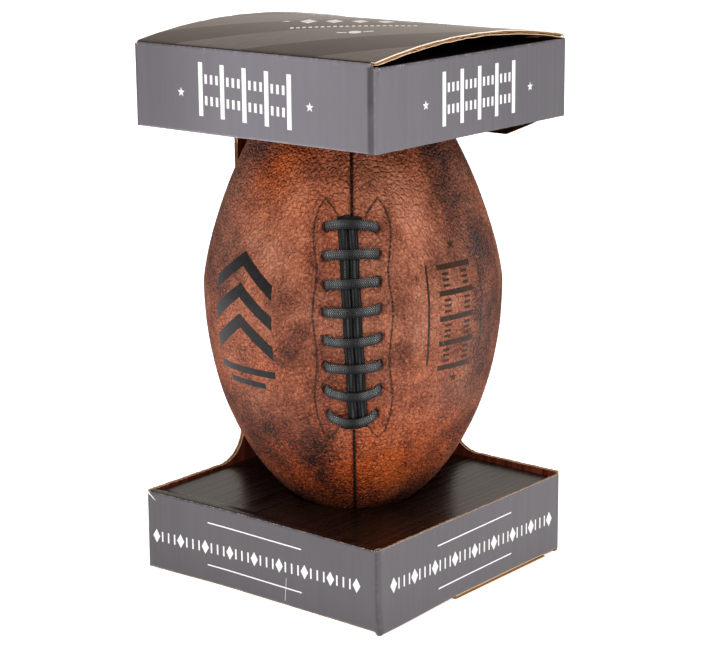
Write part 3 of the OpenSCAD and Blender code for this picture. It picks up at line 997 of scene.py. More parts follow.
EAR = 84.5                   # how far back the lid panel goes beside its tuck flap


def dip(s, t):
    """The lid panel is pulled down a little where its tuck flap holds it, between two ears that stand free."""
    return 1.7 * sm((t - 36) / 46) * (1 - sm((np.abs(s) - 60) / 13))


def bow_place(s, t, d):
    s, t, d = np.broadcast_arrays(np.asarray(s, float), np.asarray(t, float), np.asarray(d, float))
    ear = sm((np.abs(s) - 69.9) / 0.6)
    k = np.minimum(kappa(t - FRONT_Y, LF), ear + (1 - ear) * kappa(FAR_Y - t, LF))
    a = np.arcsin((t - BOW_Y) / BOW_R)
    # pressed score line just past the front fold
    r = BOW_R - 0.05 - d * k - 0.22 * np.exp(-((t - FRONT_Y - 0.5) / 0.5) ** 2)
    return np.stack([s, BOW_Y + r * np.sin(a), BOW_Z + r * np.cos(a) - dip(s, t)], -1)


def ear_spans(s):
    f = min(max((abs(s) - 70.0) / 0.4, 0.0), 1.0)
    return [(FRONT_Y, FAR_Y + f * (EAR - FAR_Y - 0.15 * abs(float(hash1(s / 1.3, 31.0)))))]


board("lid_top_panel_board", ["lid_top_panel"], "lid_top", "lid_board", bow_place,
      [(-H, -70.4, ear_spans, []), (-70.4, -70.0, ear_spans, []), (-70.0, 70.0, lambda s: [(FRONT_Y, FAR_Y)], []),
       (70.0, 70.4, ear_spans, []), (70.4, H, ear_spans, [])], "lid_print", "dark_in", tsub=even(44, 1.5, 1.5, 4),
      rough_edge=(True, True), liner=0.56, wear=lambda s, t: np.maximum(np.clip(1 - (H - np.abs(s)) / 0.9, 0, 1) * 0.9,
                                                            np.clip(1 - np.abs(t - FRONT_Y) / 1.2, 0, 1) * 0.7))

LEAN = math.radians(9)
FAR_SPAN = LF * (PI / 2 + LEAN - FAR_A)


def far_fold_place(s, t, d):
    s, t, d = np.broadcast_arrays(np.asarray(s, float), np.asarray(t, float), np.asarray(d, float))
    b = FAR_A + t / LF
    rr = np.maximum(LF - d * kappa(np.zeros_like(t), LF), 0.05)
    return np.stack([s, FAR_C[0] + rr * np.sin(b), FAR_C[1] - 0.05 + rr * np.cos(b) - dip(s, FAR_Y)], -1)


# it turns by how far back a point is, so its skin stays joined to the panel and the flap wherever the panel dips
board("lid_far_fold", [], ("lid_top", "lid_tuck", (0, 80.76, 307.5), (0, 82.12, 307.5)), "lid_board",
      far_fold_place, [(-70, 70, lambda s: [(0.0, FAR_SPAN)], [])], "lid_print", "dark", tsub=even(6),
      wear=lambda s, t: 0.5 * np.ones_like(s))

TUCK_O = (FAR_C[0] + LF * math.cos(LEAN), FAR_C[1] - LF * math.sin(LEAN))


def tuck_place(s, t, d):
    s, t, d = np.broadcast_arrays(np.asarray(s, float), np.asarray(t, float), np.asarray(d, float))
    dd = d * kappa(t, LF)
    return np.stack([s, TUCK_O[0] - t * math.sin(LEAN) - dd * math.cos(LEAN),
                     TUCK_O[1] - 0.05 - t * math.cos(LEAN) + dd * math.sin(LEAN) - dip(s, FAR_Y)], -1)


def tuck_spans(s):
    a = abs(s)
    if a < 61:
        return [(0.0, 16.0)]
    if a < 69:
        return [(0.0, 16.0 - (a - 61) / 8 * 6.0)]
    return [(0.0, max(0.05, 10.0 - (a - 69) * 9.9))]


board("lid_tuck_flap_board", ["lid_tuck_flap"], "lid_tuck", "lid_board", tuck_place,
      [(-70, -69, tuck_spans, []), (-69, -61, tuck_spans, []), (-61, 61, tuck_spans, []), (61, 69, tuck_spans, []), (69, 70, tuck_spans, [])],
      "dark_z", "kraft", tsub=even(3, 2.5, 0, 4))


def dust_spans(sg):
    def f(s):
        if s < -33.9:
            x0 = 82.8 - (s + 80.9) * 44.9 / 47
        elif s < 66:
            x0 = 37.9
        elif s < 73:
            x0 = 37.9 + (s - 66) / 7 * 33.1
        else:
            x0 = 71 + (s - 73) / 5 * 3
        x0 = min(x0, 82.9)
        return [(x0, 84.0)] if sg > 0 else [(-84.0, -x0)]
    return f


def dust_place(s, t, d):
    s, t, d = np.broadcast_arrays(np.asarray(s, float), np.asarray(t, float), np.asarray(d, float))
    return np.stack([t, s, LT - d * kappa(84.0 - np.abs(t), 1.5)], -1)


for nm, side, sg in (("right", "B", 1), ("left", "D", -1)):
    board("lid_dust_flap_%s_board" % nm, ["lid_dust_flap_" + nm], "dust_" + nm, "lid_board", dust_place,
          [(a, b, dust_spans(sg), []) for a, b in ((-80.7, -33.9), (-33.9, 66), (66, 73), (73, 77.8))],
          "dark_x", "kraft_x", tsub=even(3, 2.5 if sg < 0 else 0, 2.5 if sg > 0 else 0, 4), wash=0.04)
    # the even wear along these folds' crests draws worn specks and a painted highlight line
    board("lid_%s_fold" % nm, [], ("case", "dust_" + nm, (sg * 85.5, 0, 304.0), (sg * 84.0, 0, 306.0)), "printed_board",
          wall_place(side, DUST_TOP, None, None, 200.0), [(-80.6, 77.7, lambda s: [(303.9, LT - 1.5 + 1.5 * PI / 2)], [])],
          "print_wall", "dark_z", front2="dark_x", split=lambda s, t: t > LT - 1.5 + 1.5 * 1.0, tsub=even(8),
          wear=lambda s, t: np.clip(1 - np.abs(t - 305.4) / 1.1, 0, 1) * (0.75 + 0.25 * hash1(s / 2.2, 4.0)))


# ------------------------------------------------------------------ leather, laces and the ball's other materials

def make_leather(name):
    """Aged brown leather: wrinkled pebble grain, dark in its creases, stained in patches and warmer in others. The
    patch attributes also carry painted shade towards the bottom and edges, and the seam darkening also paints shade
    into the lace holes and beside the runs.
    """
    m = Mat(name)
    wob = m.noise(260, 3.0, 0.6, colour=True)
    bent = m.new("ShaderNodeMix", data_type="VECTOR")
    m.put(bent.inputs[0], 0.0016)
    m.put(bent.inputs[4], m.co)
    m.put(bent.inputs[5], wob)
    big = m.noise(15, 3.0, 0.55, dist=0.5)
    mid = m.noise(52, 4.0, 0.62, dist=0.8, co=m.mapped(loc=(0.4, 0.2, 0.1)))
    streak = m.noise(1.0, 3.0, 0.6, co=m.mapped(scale=(90, 90, 26)))
    fine = m.noise(640, 3.0, 0.62, dist=0.5)
    speck = m.noise(1100, 2.0, 0.6, co=m.mapped(loc=(0.2, 0.9, 0.3)))
    pebble = m.voronoi(560, "SMOOTH_F1", smooth=0.4, co=bent.outputs[1])
    pebble2 = m.voronoi(1250, "SMOOTH_F1", smooth=0.5, co=m.mapped(loc=(0.3, 0.1, 0.7)))
    crease = m.voronoi(330, "DISTANCE_TO_EDGE", co=bent.outputs[1])
    stain_and_shade = m.attr("stain_and_shade")
    red = m.attr("warm")
    tone = m.math("ADD", m.math("MULTIPLY", big, 0.4), m.math("MULTIPLY", mid, 0.6))
    tone = m.math("ADD", tone, m.math("MULTIPLY", streak, 0.3))
    # darker patches: real stains, and painted shade towards the ball's bottom and edges
    tone = m.math("ADD", tone, m.math("MULTIPLY", m.math("SUBTRACT", stain_and_shade, 0.5), -1.0))
    tone = m.math("ADD", tone, m.math("MULTIPLY", m.math("SUBTRACT", fine, 0.5), m.smooth(red, 0.2, 0.8, 0.7, 1.35)))
    tone = m.math("ADD", tone, m.math("MULTIPLY", m.math("SUBTRACT", speck, 0.5), m.smooth(red, 0.2, 0.8, 0.5, 1.1)))
    col = m.ramp(tone, [(0.22, (0.014, 0.005, 0.003)), (0.42, (0.070, 0.019, 0.010)), (0.62, (0.192, 0.060, 0.031)), (0.82, (0.35, 0.128, 0.072)), (1.0, (0.46, 0.20, 0.125))])
    warm = m.ramp(tone, [(0.22, (0.014, 0.003, 0.001)), (0.42, (0.072, 0.012, 0.003)), (0.62, (0.225, 0.033, 0.004)), (0.82, (0.41, 0.072, 0.009)), (1.0, (0.52, 0.115, 0.020))])
    col = m.mix(red, col, warm)
    col = m.mix(m.smooth(crease, 0.0, 0.08, 0.15, 0.0), col, (0.016, 0.005, 0.003, 1))
    # the seam darkening covers seams and stitching, and painted shade in the lace holes and beside the runs
    col = m.mix(m.smooth(m.attr("seam"), 0.0, 1.0, 0.0, 0.94), col, (0.006, 0.003, 0.002, 1))
    rough = m.math("ADD", m.math("MULTIPLY", mid, 0.2), m.math("ADD", m.math("MULTIPLY", stain_and_shade, -0.06), 0.33))
    lw = m.new("ShaderNodeLayerWeight")
    lw.inputs["Blend"].default_value = 0.5
    rough = m.math("ADD", rough, m.smooth(lw.outputs["Facing"], 0.35, 0.85, 0.0, 0.5))
    h = m.math("ADD", m.math("MULTIPLY", pebble, 1.0), m.math("MULTIPLY", pebble2, 0.3))
    h = m.math("ADD", h, m.math("MULTIPLY", m.smooth(crease, 0.0, 0.26), 1.5))
    h = m.math("ADD", h, m.math("MULTIPLY", fine, 0.7))
    m.set(Base_Color=col, Roughness=rough, Normal=m.bump(h, 0.00052, 1.0))
    m.b.inputs["Specular IOR Level"].default_value = 0.2
    m.b.inputs["IOR"].default_value = 1.48
    return m.m


def make_simple(name, a, b, scale, rough, bump=0.0001, sheen=0.0, weave=None):
    m = Mat(name)
    f = m.noise(scale, 4.0, 0.6)
    g = m.noise(scale * 5, 3.0, 0.7)
    c = m.mix(m.smooth(f, 0.3, 0.7), a, b)
    c = m.mix(m.math("MULTIPLY", m.smooth(g, 0.5, 0.8), 0.4), c, tuple(v * 1.6 for v in b[:3]) + (1,))
    h = m.math("ADD", f, m.math("MULTIPLY", g, 0.6))
    if weave:
        x, y, z = m.sep()
        ang = m.math("ARCTAN2", y, x)
        wv = m.math("ADD", m.math("SINE", m.math("MULTIPLY", z, weave)), m.math("SINE", m.math("MULTIPLY", ang, weave * 0.07)))
        h = m.math("ADD", h, m.math("MULTIPLY", wv, 0.5))
        c = m.mix(m.smooth(wv, -1.5, 1.5, 0.3, 0.0), c, tuple(v * 0.7 for v in a[:3]) + (1,))
    m.set(Base_Color=c, Roughness=m.math("ADD", m.math("MULTIPLY", g, 0.15), rough), Normal=m.bump(h, bump, 0.8))
    m.b.inputs["Sheen Weight"].default_value = sheen
    return m.m


M["leather"] = make_leather("ball_leather")
M["flesh"] = make_simple("ball_leather_back", lin(120, 84, 60), lin(150, 112, 84), 300, 0.85, 0.0002)


def make_lace():
    """Waxed black braid; the ply attribute paints pale glints on the crests of its plies, as painted highlights."""
    m = Mat("lace_black")
    f = m.noise(1600, 3.0, 0.6)
    # painted highlights: pale glints mixed in where the ply attribute is high
    g = m.math("MULTIPLY", m.attr("ply"), m.smooth(f, 0.25, 0.7, 0.35, 1.0))
    m.set(Base_Color=m.mix(g, (0.0016, 0.0016, 0.0019, 1), (0.40, 0.40, 0.405, 1)), Roughness=m.smooth(f, 0.3, 0.7, 0.24, 0.36),
          Normal=m.bump(f, 0.00005, 0.6))
    m.b.inputs["Specular IOR Level"].default_value = 0.04
    return m.m


M["lace"] = make_lace()
M["thread"] = make_simple("stitch_thread", (0.004, 0.0035, 0.0035, 1), (0.010, 0.009, 0.008, 1), 1500, 0.4, 0.00005)
M["lining"] = make_simple("lining_cloth", lin(176, 166, 148), lin(204, 194, 174), 240, 0.9, 0.0001, 0.1, 5200)
M["bladder"] = make_simple("bladder_rubber", lin(22, 22, 22), lin(34, 33, 33), 140, 0.6)
M["rubber"] = make_simple("valve_rubber", lin(16, 16, 16), lin(30, 30, 30), 500, 0.5)
M["stamp"] = make_simple("stamp_dark_brown", (0.018, 0.008, 0.005, 1), (0.045, 0.018, 0.010, 1), 500, 0.34, 0.00008)
M["stamp_black"] = make_simple("stamp_black", (0.004, 0.0035, 0.0035, 1), (0.012, 0.010, 0.010, 1), 500, 0.36, 0.00008)
for k in ("stamp", "stamp_black"):
    M[k].node_tree.nodes["Principled BSDF"].inputs["Specular IOR Level"].default_value = 0.2


# ------------------------------------------------------------------ the ball

def end_square(z):
    """How far the ball's ends are drawn in between their seams."""
    return 0.09 * sm((np.abs(z) - 55) / 55)


FACING = [(-74.0, 13.4), (-69.5, 17.2), (-60.2, 20.2), (-49.7, 21.5), (-40.6, 20.9), (-30.4, 19.8), (-20.5, 20.1),
          (-10.7, 21.2), (-1, 22.0), (7, 21.4), (15, 19.8), (22.5, 19.4), (30, 20.2), (39, 21.2), (46.6, 20.5), (54.3, 17.8), (59.3, 13.9)]
FZ, FW = np.array([p[0] for p in FACING], float), np.array([p[1] for p in FACING], float)
BAR_Z = [(44.4, 45.6, 43.7), (29.7, 30.4, 30.5), (14.5, 15.4, 16.3), (0.5, 0.4, 1.9), (-15.0, -15.9, -13.6),
         (-30.1, -30.7, -29.2), (-43.3, -46.9, -43.2), (-58.4, -62.5, -58.2)]
BAR_L = [-14.1, -15.2, -14.7, -15.6, -15.6, -15.3, -15.3, -13.9]
BAR_R = [13.5, 14.0, 14.2, 14.6, 14.8, 14.7, 14.3, 12.0]

# soft stained and warm patches, with painted shade that darkens the ball towards its bottom and edges: angle from +X,
# height above the centre, their half sizes, and strength
STAINS_AND_SHADE = [(2, 84, 9, 18, 0.20), (8, 24, 10, 26, 0.10), (-36, 40, 6, 24, 0.05), (-66, 78, 10, 12, -0.04), (-90, 44, 10, 14, -0.05), (-6, 62, 7, 26, 0.13),
          (-122, 10, 14, 40, 0.12), (-72, -20, 9, 26, 0.07), (-98, -66, 16, 18, 0.18), (-73, -84, 9, 24, 0.26), (-30, -88, 16, 24, -0.12), (-62, -104, 15, 18, 0.12), (-104, -96, 18, 24, 0.10), (-20, -14, 14, 22, -0.10), (-22, 52, 14, 30, -0.08),
          (-30, -66, 22, 18, -0.03), (-92, 20, 16, 34, -0.17), (-70, -90, 12, 16, 0.10), (-50, -122, 180, 16, 0.10), (-84, 76, 16, 20, -0.12), (-60, 84, 12, 16, -0.10), (-26, 66, 12, 20, -0.08),
          (11, 14, 10, 60, 0.17), (-126, 0, 19, 120, 0.03), (-110, 84, 18, 14, 0.05), (-14, 92, 16, 10, 0.10), (-56, 0, 6, 60, 0.04)]
# the wide warm patch round the bottom also stands in for painted shade there
WARMS = [(-92, 72, 22, 22, 0.8), (-54, -104, 80, 26, 1.0), (-104, -30, 26, 40, 0.35), (-24, -70, 30, 26, 0.45), (-64, 30, 12, 30, 0.3),
         (-50, 90, 90, 16, 0.4)]


def blobs(table, th, z, base):
    v = np.full(np.broadcast(th, z).shape, base, float)
    for a, b, wa, wb, k in table:
        da = (th - a + 180) % 360 - 180
        v = v + k * np.exp(-((da / wa) ** 2 + ((z - b) / wb) ** 2))
    return v


def ball_surface(th, z, sink=0.0):
    """Point on the plain leather skin at angle th (degrees) and height z above the centre, sink mm inside it."""
    r = ball_R(z) * (1 - end_square(z) * (1 - np.cos(np.radians(4 * (th - LACE_AZ)))) / 2)
    slope = (ball_R(np.clip(z + 0.5, -141.9, 136.9)) - ball_R(np.clip(z - 0.5, -141.9, 136.9)))
    nz = -slope / np.sqrt(1 + slope ** 2)
    nr = 1 / np.sqrt(1 + slope ** 2)
    rr = r - sink * nr
    a = np.radians(th)
    return np.stack([BALL[0] + rr * np.cos(a), BALL[1] + rr * np.sin(a), BALL[2] + z - sink * nz], -1)


def lace_arc_to_deg(arc, z):
    return LACE_AZ + np.degrees(arc / np.maximum(ball_R(z), 1e-3))


def dist_line(x, z, x0, z0, x1, z1):
    dx, dz = x1 - x0, z1 - z0
    t = np.clip(((x - x0) * dx + (z - z0) * dz) / (dx * dx + dz * dz), 0, 1)
    return np.hypot(x - x0 - t * dx, z - z0 - t * dz)


def skin(th, z):
    """Depth of the leather below its plain shape, and how dark it is drawn, at each point: its seams and stitching,
    with painted shade in the lace holes and beside the runs.
    """
    R = ball_R(z)
    off = (th - LACE_AZ + 45) % 90 - 45
    s = np.radians(off) * R                      # arc from the nearest seam
    which = np.round((th - LACE_AZ) / 90).astype(int) % 4
    front = which == 0
    p = ball_surface(th, z)
    depth = np.zeros_like(s)
    seam = np.zeros_like(s)
    # the leather rolls into each seam; the stitches pull it in at every 3.9 mm
    pull = 0.5 + 0.5 * np.cos(2 * PI * z / 3.9)
    depth += 1.35 * np.exp(-(s / 0.62) ** 2) + 0.5 * np.exp(-(s / 2.3) ** 2)
    depth += 0.42 * pull * np.exp(-((np.abs(s) - 1.2) / 0.9) ** 2)
    seam += 1.0 * np.exp(-(s / 1.0) ** 2) + 0.25 * np.exp(-((np.abs(s) - 1.3) / 0.7) ** 2) * pull
    # the facing's stitched outline on both sides of the laces
    x = np.where(front, s, 99.0)
    inside = front & (z > -80) & (z < 66)
    w = np.interp(z, FZ, FW)
    dl = np.where((z > -74) & (z < 59.3), np.abs(np.abs(x) - w), 99.0)
    for sg in (-1, 1):
        for a, b, c, d in ((13.9, 59.3, 10.3, 54.8), (10.3, 54.8, 7.0, 49.7), (13.4, -74, 10.2, -70.2), (10.2, -70.2, 7.6, -65.7)):
            dl = np.minimum(dl, dist_line(x, z, sg * a, b, sg * c, d))
    dl = np.where(inside, dl, 99.0)
    depth += 0.55 * np.exp(-(dl / 0.55) ** 2) + 0.18 * np.exp(-(dl / 1.8) ** 2)
    seam += (0.72 + 0.28 * np.cos(2 * PI * z / 2.6)) * np.exp(-(dl / 0.62) ** 2)
    # the leather dimples where each lace end goes in, and puckers between them
    hole = np.zeros_like(s)
    for (zl, zm, zr), al, ar in zip(BAR_Z, BAR_L, BAR_R):
        for ax, az in ((al, zl), (ar, zr)):
            sg = 1 if ax > 0 else -1
            ex = (x - ax + sg * -0.2) / 2.1
            ez = (z - az) / 3.2
            q = np.where(inside, ex * ex + ez * ez, 99.0)
            hole = np.maximum(hole, np.exp(-q ** 2))
            pk = np.where(inside, ((x - ax - sg * 3.0) / 3.2) ** 2 + ((z - az) / 4.0) ** 2, 99.0)
            depth += 0.22 * np.exp(-pk)
    depth += 1.5 * hole
    # painted shade: the lace holes are drawn dark
    seam += 0.95 * hole
    # a step down beside the runs, where the two facings meet below the laces, darkened with painted shade
    gap = np.where(inside & (z > -66) & (z < 50), np.exp(-(x / 6.0) ** 4), 0)
    depth += 0.35 * gap
    seam += 0.35 * gap
    # wrinkles and broad unevenness
    near = 1 + 1.2 * np.where(front, np.exp(-((np.abs(x) - 17) / 12.0) ** 2), 0) * np.exp(-(z / 70.0) ** 4)
    w1 = noise3(p / 3.4, 1.0)
    w2 = noise3(p / np.array([2.2, 2.2, 4.2]), 2.0)
    w3 = noise3(p / 26.0, 3.0)
    ridge = 1 - np.abs(noise3(p / np.array([5.5, 5.5, 3.6]), 4.0))
    depth += 0.05 * near * (w1 + 0.7 * w2) + 0.12 * w3 + 0.10 * near * np.clip(ridge - 0.72, 0, 1) / 0.28
    depth = np.maximum(depth, 0.09 - 0.32 * sm((np.abs(z) - 12) / 25))
    return depth, np.clip(seam, 0, 1), p


def nonuniform(a, b, spans):
    """Positions from a to b whose steps follow spans = [(end, step)], with a count that is a multiple of 4."""
    out, x = [a], a
    for end, st in spans:
        n = max(1, int(math.ceil((end - x) / st - 1e-6)))
        out += [x + (end - x) * i / n for i in range(1, n + 1)]
        x = end
    while (len(out) - 1) % 4:
        g = max(range(len(out) - 1), key=lambda i: out[i + 1] - out[i])
        out.insert(g + 1, (out[g] + out[g + 1]) / 2)
    return np.array(out)


def ball_panel(k):
    a0, a1 = LACE_AZ + 90 * k, LACE_AZ + 90 * (k + 1)
    g = 0.05                                    # each panel stops this far short of the seam line, in degrees
    if k == 0:
        cols = nonuniform(a0 + g, a1 - g, [(a0 + 1.2, 0.22), (a0 + 18.5, 0.3), (a0 + 28, 0.5), (a1 - 3, 0.75), (a1 - g, 0.3)])
    elif k == 3:
        cols = nonuniform(a0 + g, a1 - g, [(a0 + 3, 0.3), (a1 - 28, 0.75), (a1 - 18.5, 0.5), (a1 - 1.2, 0.3), (a1 - g, 0.22)])
    else:
        cols = nonuniform(a0 + g, a1 - g, [(a0 + 3, 0.35), (a1 - 3, 0.9), (a1 - g, 0.35)])
    fine = 0.45 if k in (0, 3) else 1.1
    ends = 1.0
    # rows follow the profile's length near the tips
    tip_lo = [-142 * math.cos(q) for q in np.linspace(0.0, 0.72, 26)]
    tip_hi = [137 * math.cos(q) for q in np.linspace(0.62, 0.0, 24)]
    zs = nonuniform(tip_lo[-1], tip_hi[0], [(-82, ends), (66, fine), (tip_hi[0], ends)])
    rows = np.array(list(tip_lo[:-1]) + list(zs) + list(tip_hi[1:]))
    while (len(rows) - 1) % 4:
        i = int(np.argmax(np.diff(rows)))
        rows = np.insert(rows, i + 1, (rows[i] + rows[i + 1]) / 2)
    TH, Z = np.meshgrid(cols, rows, indexing="ij")
    depth, seam, p = skin(TH, Z)
    if k == 2:                                   # the valve's dimple
        dv = np.hypot(np.radians(TH - (LACE_AZ + 225)) * ball_R(Z), Z)
        depth = depth + 0.9 * np.exp(-(dv / 5.2) ** 4)
        seam = np.clip(seam + 0.6 * np.exp(-((dv - 4.4) / 0.9) ** 2), 0, 1)
    fade = np.clip(ball_R(Z) / 12.0, 0, 1)
    A = ball_surface(TH, Z, depth * fade)
    n, m = TH.shape
    ia = np.arange(n * m).reshape(n, m)
    # inner skin on every fourth row and column
    ci, ri = np.arange(0, n, 4), np.arange(0, m, 4)
    B = ball_surface(TH[np.ix_(ci, ri)], Z[np.ix_(ci, ri)], 2.75)
    # near the tips the skin is thinner than the ball, so it draws in to the axis
    rad = np.hypot(B[..., 0] - BALL[0], B[..., 1] - BALL[1])
    nb, mb = B.shape[:2]
    ib = np.arange(nb * mb).reshape(nb, mb) + n * m
    F = [np.stack([ia[:-1, :-1], ia[1:, :-1], ia[1:, 1:], ia[:-1, 1:]], -1).reshape(-1, 4),
         np.stack([ib[:-1, 1:], ib[1:, 1:], ib[1:, :-1], ib[:-1, :-1]], -1).reshape(-1, 4)]
    faces = [tuple(f) for q in F for f in q.tolist()]
    mat = [0] * len(F[0]) + [1] * len(F[1])

    def rim(outer, inner, rev):
        for j in range(len(inner) - 1):
            o = outer[4 * j:4 * j + 5]
            f = [tuple(o[i:i + 2]) + (inner[j] if i < 2 else inner[j + 1],) for i in range(4)]
            f.insert(2, (o[2], inner[j + 1], inner[j]))
            for t in f:
                faces.append(t[::-1] if rev else t)
                mat.append(1)
    rim(list(ia[0, :]), list(ib[0, :]), False)
    rim(list(ia[-1, :]), list(ib[-1, :]), True)
    verts = np.concatenate([A.reshape(-1, 3), B.reshape(-1, 3)])
    # stains, plus painted shade towards the bottom and edges
    stain_and_shade = blobs(STAINS_AND_SHADE, TH, Z, 0.5) + 0.12 * noise3(p / 18.0, 7.0) + 0.06 * noise3(p / 7.0, 8.0)
    warm = np.clip(blobs(WARMS, TH, Z, 0.12) + 0.2 * noise3(p / 20.0, 9.0), 0, 1)
    pad = np.zeros(nb * mb)
    o = link("ball_panel_%d_leather" % (k + 1), verts, faces, [M["leather"], M["flesh"]], mat, angle=60, attrs={
        "stain_and_shade": np.concatenate([np.clip(stain_and_shade, 0, 1).reshape(-1), pad + 0.5]),
        "warm": np.concatenate([warm.reshape(-1), pad]), "seam": np.concatenate([seam.reshape(-1), pad])})
    tidy(o)
    return own(o, "ball", "ball_leather", "ball_panel_%d" % (k + 1))


for k in range(4):
    ball_panel(k)


# ------------------------------------------------------------------ laces, stitches and valve

def lace_ribbon(path, side, up, width, thick, pitch=1.15, amp=0.10, edge=0.13, n_around=36, phase=0.0, pale=1.0, rib=0.0):
    """A flat braided lace along path (n, 3), with side and up vectors at each point. Its diagonal plies cross, and a
    thicker cord runs along each edge."""
    n = len(path)
    seg = np.linalg.norm(np.diff(path, axis=0), axis=1)
    v = np.concatenate([[0], np.cumsum(seg)]) + phase
    ang = np.linspace(0, 2 * PI, n_around, endpoint=False)
    # a flattened round section with more points across its top
    cx = np.sign(np.cos(ang)) * np.abs(np.cos(ang)) ** 0.62
    cy = np.sign(np.sin(ang)) * np.abs(np.sin(ang)) ** 0.75
    u = cx[None, :].repeat(n, 0)
    vv = v[:, None].repeat(n_around, 1)
    # two sets of plies cross at each diamond of the braid
    ply = np.sqrt(np.abs(np.sin(PI * (vv / pitch + u * 1.9)) * np.sin(PI * (vv / pitch - u * 1.9))))
    # the plies fade out towards the edges, so that the lace keeps a smooth outline
    h = amp * (ply - 0.5) * (1 - np.abs(u) ** 4) + edge * np.exp(-((np.abs(u) - 0.84) / 0.12) ** 2)
    h = h + rib * np.cos(3 * PI * u)
    wid = width / 2
    half = thick / 2
    yy = cy[None, :] * (half + np.where(cy[None, :] > 0, h, h * 0.5) * np.abs(cy[None, :]) ** 0.3)
    P = path[:, None, :] + side[:, None, :] * (u * wid)[..., None] + up[:, None, :] * yy[..., None]
    idx = np.arange(n * n_around).reshape(n, n_around)
    nx = np.roll(idx, -1, axis=1)
    F = np.stack([idx[:-1], nx[:-1], nx[1:], idx[1:]], -1).reshape(-1, 4)
    verts = P.reshape(-1, 3)
    faces = [tuple(f) for f in F.tolist()]
    c0, c1 = len(verts), len(verts) + 1
    verts = np.concatenate([verts, P[0].mean(0)[None], P[-1].mean(0)[None]])
    faces += [(int(idx[0, (i + 1) % n_around]), int(idx[0, i]), c0) for i in range(n_around)]
    faces += [(int(idx[-1, i]), int(idx[-1, (i + 1) % n_around]), c1) for i in range(n_around)]
    # painted glints: pale spots on the crests of the braid's diamonds, on the outward side only
    glint = np.clip((ply - 0.72) / 0.24, 0, 1) * np.clip(cy[None, :] * 2.0, 0, 1) * pale
    # painted light: the cross laces' glints are palest on both sides of the seam, darker over its middle, and brighter
    # on their upper side
    mid = (vv - vv.min()) / (vv.max() - vv.min()) - 0.5
    glint_shading = (1 - 0.80 * np.exp(-(mid / 0.17) ** 2)) * (0.85 + 0.45 * u) * (1 + 0.12 * np.sin(vv * 0.9 + phase * 7))
    if rib:
        # on the runs the painted glints run in stripes along the ribs
        glint = (0.08 + 0.92 * ply ** 2) * np.clip(cy[None, :] * 2.0, 0, 1) * pale
        glint_shading = np.clip(np.cos(3 * PI * u), 0, 1) ** 2 * (0.8 + 0.4 * np.sin(vv * 0.23 + 4 * u))
    glint = glint * np.clip(glint_shading, 0.12, 1.5)
    return verts, faces, np.concatenate([glint.reshape(-1), np.zeros(2)])


def frame_on_ball(arc, z):
    """Point, outward, along-arc and upward unit vectors on the plain skin, at arc mm from the lace seam."""
    th = lace_arc_to_deg(arc, z)
    p = ball_surface(th, z)
    pa = ball_surface(th + 0.3, z)
    pz = ball_surface(th, z + 0.3)
    ea = pa - p
    ea /= np.linalg.norm(ea, axis=-1, keepdims=True)
    ez = pz - p
    ez /= np.linalg.norm(ez, axis=-1, keepdims=True)
    n = np.cross(ea, ez)
    n /= np.linalg.norm(n, axis=-1, keepdims=True)
    return p, n, ea, ez


def merge(parts):
    V, F, G, n = [], [], [], 0
    for v, f, g in parts:
        V.append(v)
        G.append(g)
        F += [tuple(i + n for i in q) for q in f]
        n += len(v)
    return np.concatenate(V), F, {"ply": np.concatenate(G)}


def orient(path):
    t = np.gradient(path, axis=0)
    return t / np.linalg.norm(t, axis=1, keepdims=True)


def bars():
    parts = []
    for i, ((zl, zm, zr), al, ar) in enumerate(zip(BAR_Z, BAR_L, BAR_R)):
        q = np.linspace(0, 1, 221)
        arc = al + (ar - al) * q
        z = zl * (1 - q) * (1 - 2 * q) + 4 * zm * q * (1 - q) + zr * q * (2 * q - 1)
        lift = 2.25 - 0.25 * (2 * q - 1) ** 2
        # its ends turn down into the slots
        e = np.minimum(arc - al, ar - arc)
        lift = lift - 3.9 * np.clip(1 - e / 3.3, 0, 1) ** 2.0
        lift = lift + 0.22 * np.exp(-((np.abs(arc + 0.35) - 3.0) / 1.8) ** 2)
        p, n, ea, ez = frame_on_ball(arc, z)
        path = p + n * lift[:, None]
        t = orient(path)
        side = np.cross(n, t)
        side /= np.linalg.norm(side, axis=1, keepdims=True)
        up = np.cross(t, side)
        parts.append(lace_ribbon(path, side, up, 5.5, 1.35, phase=i * 0.37, pale=0.95))
    v, f, g = merge(parts)
    return own(link("ball_lace_bars_braid", v, f, [M["lace"]], angle=70, attrs=g), "ball", "lace", "ball_lace_bars")


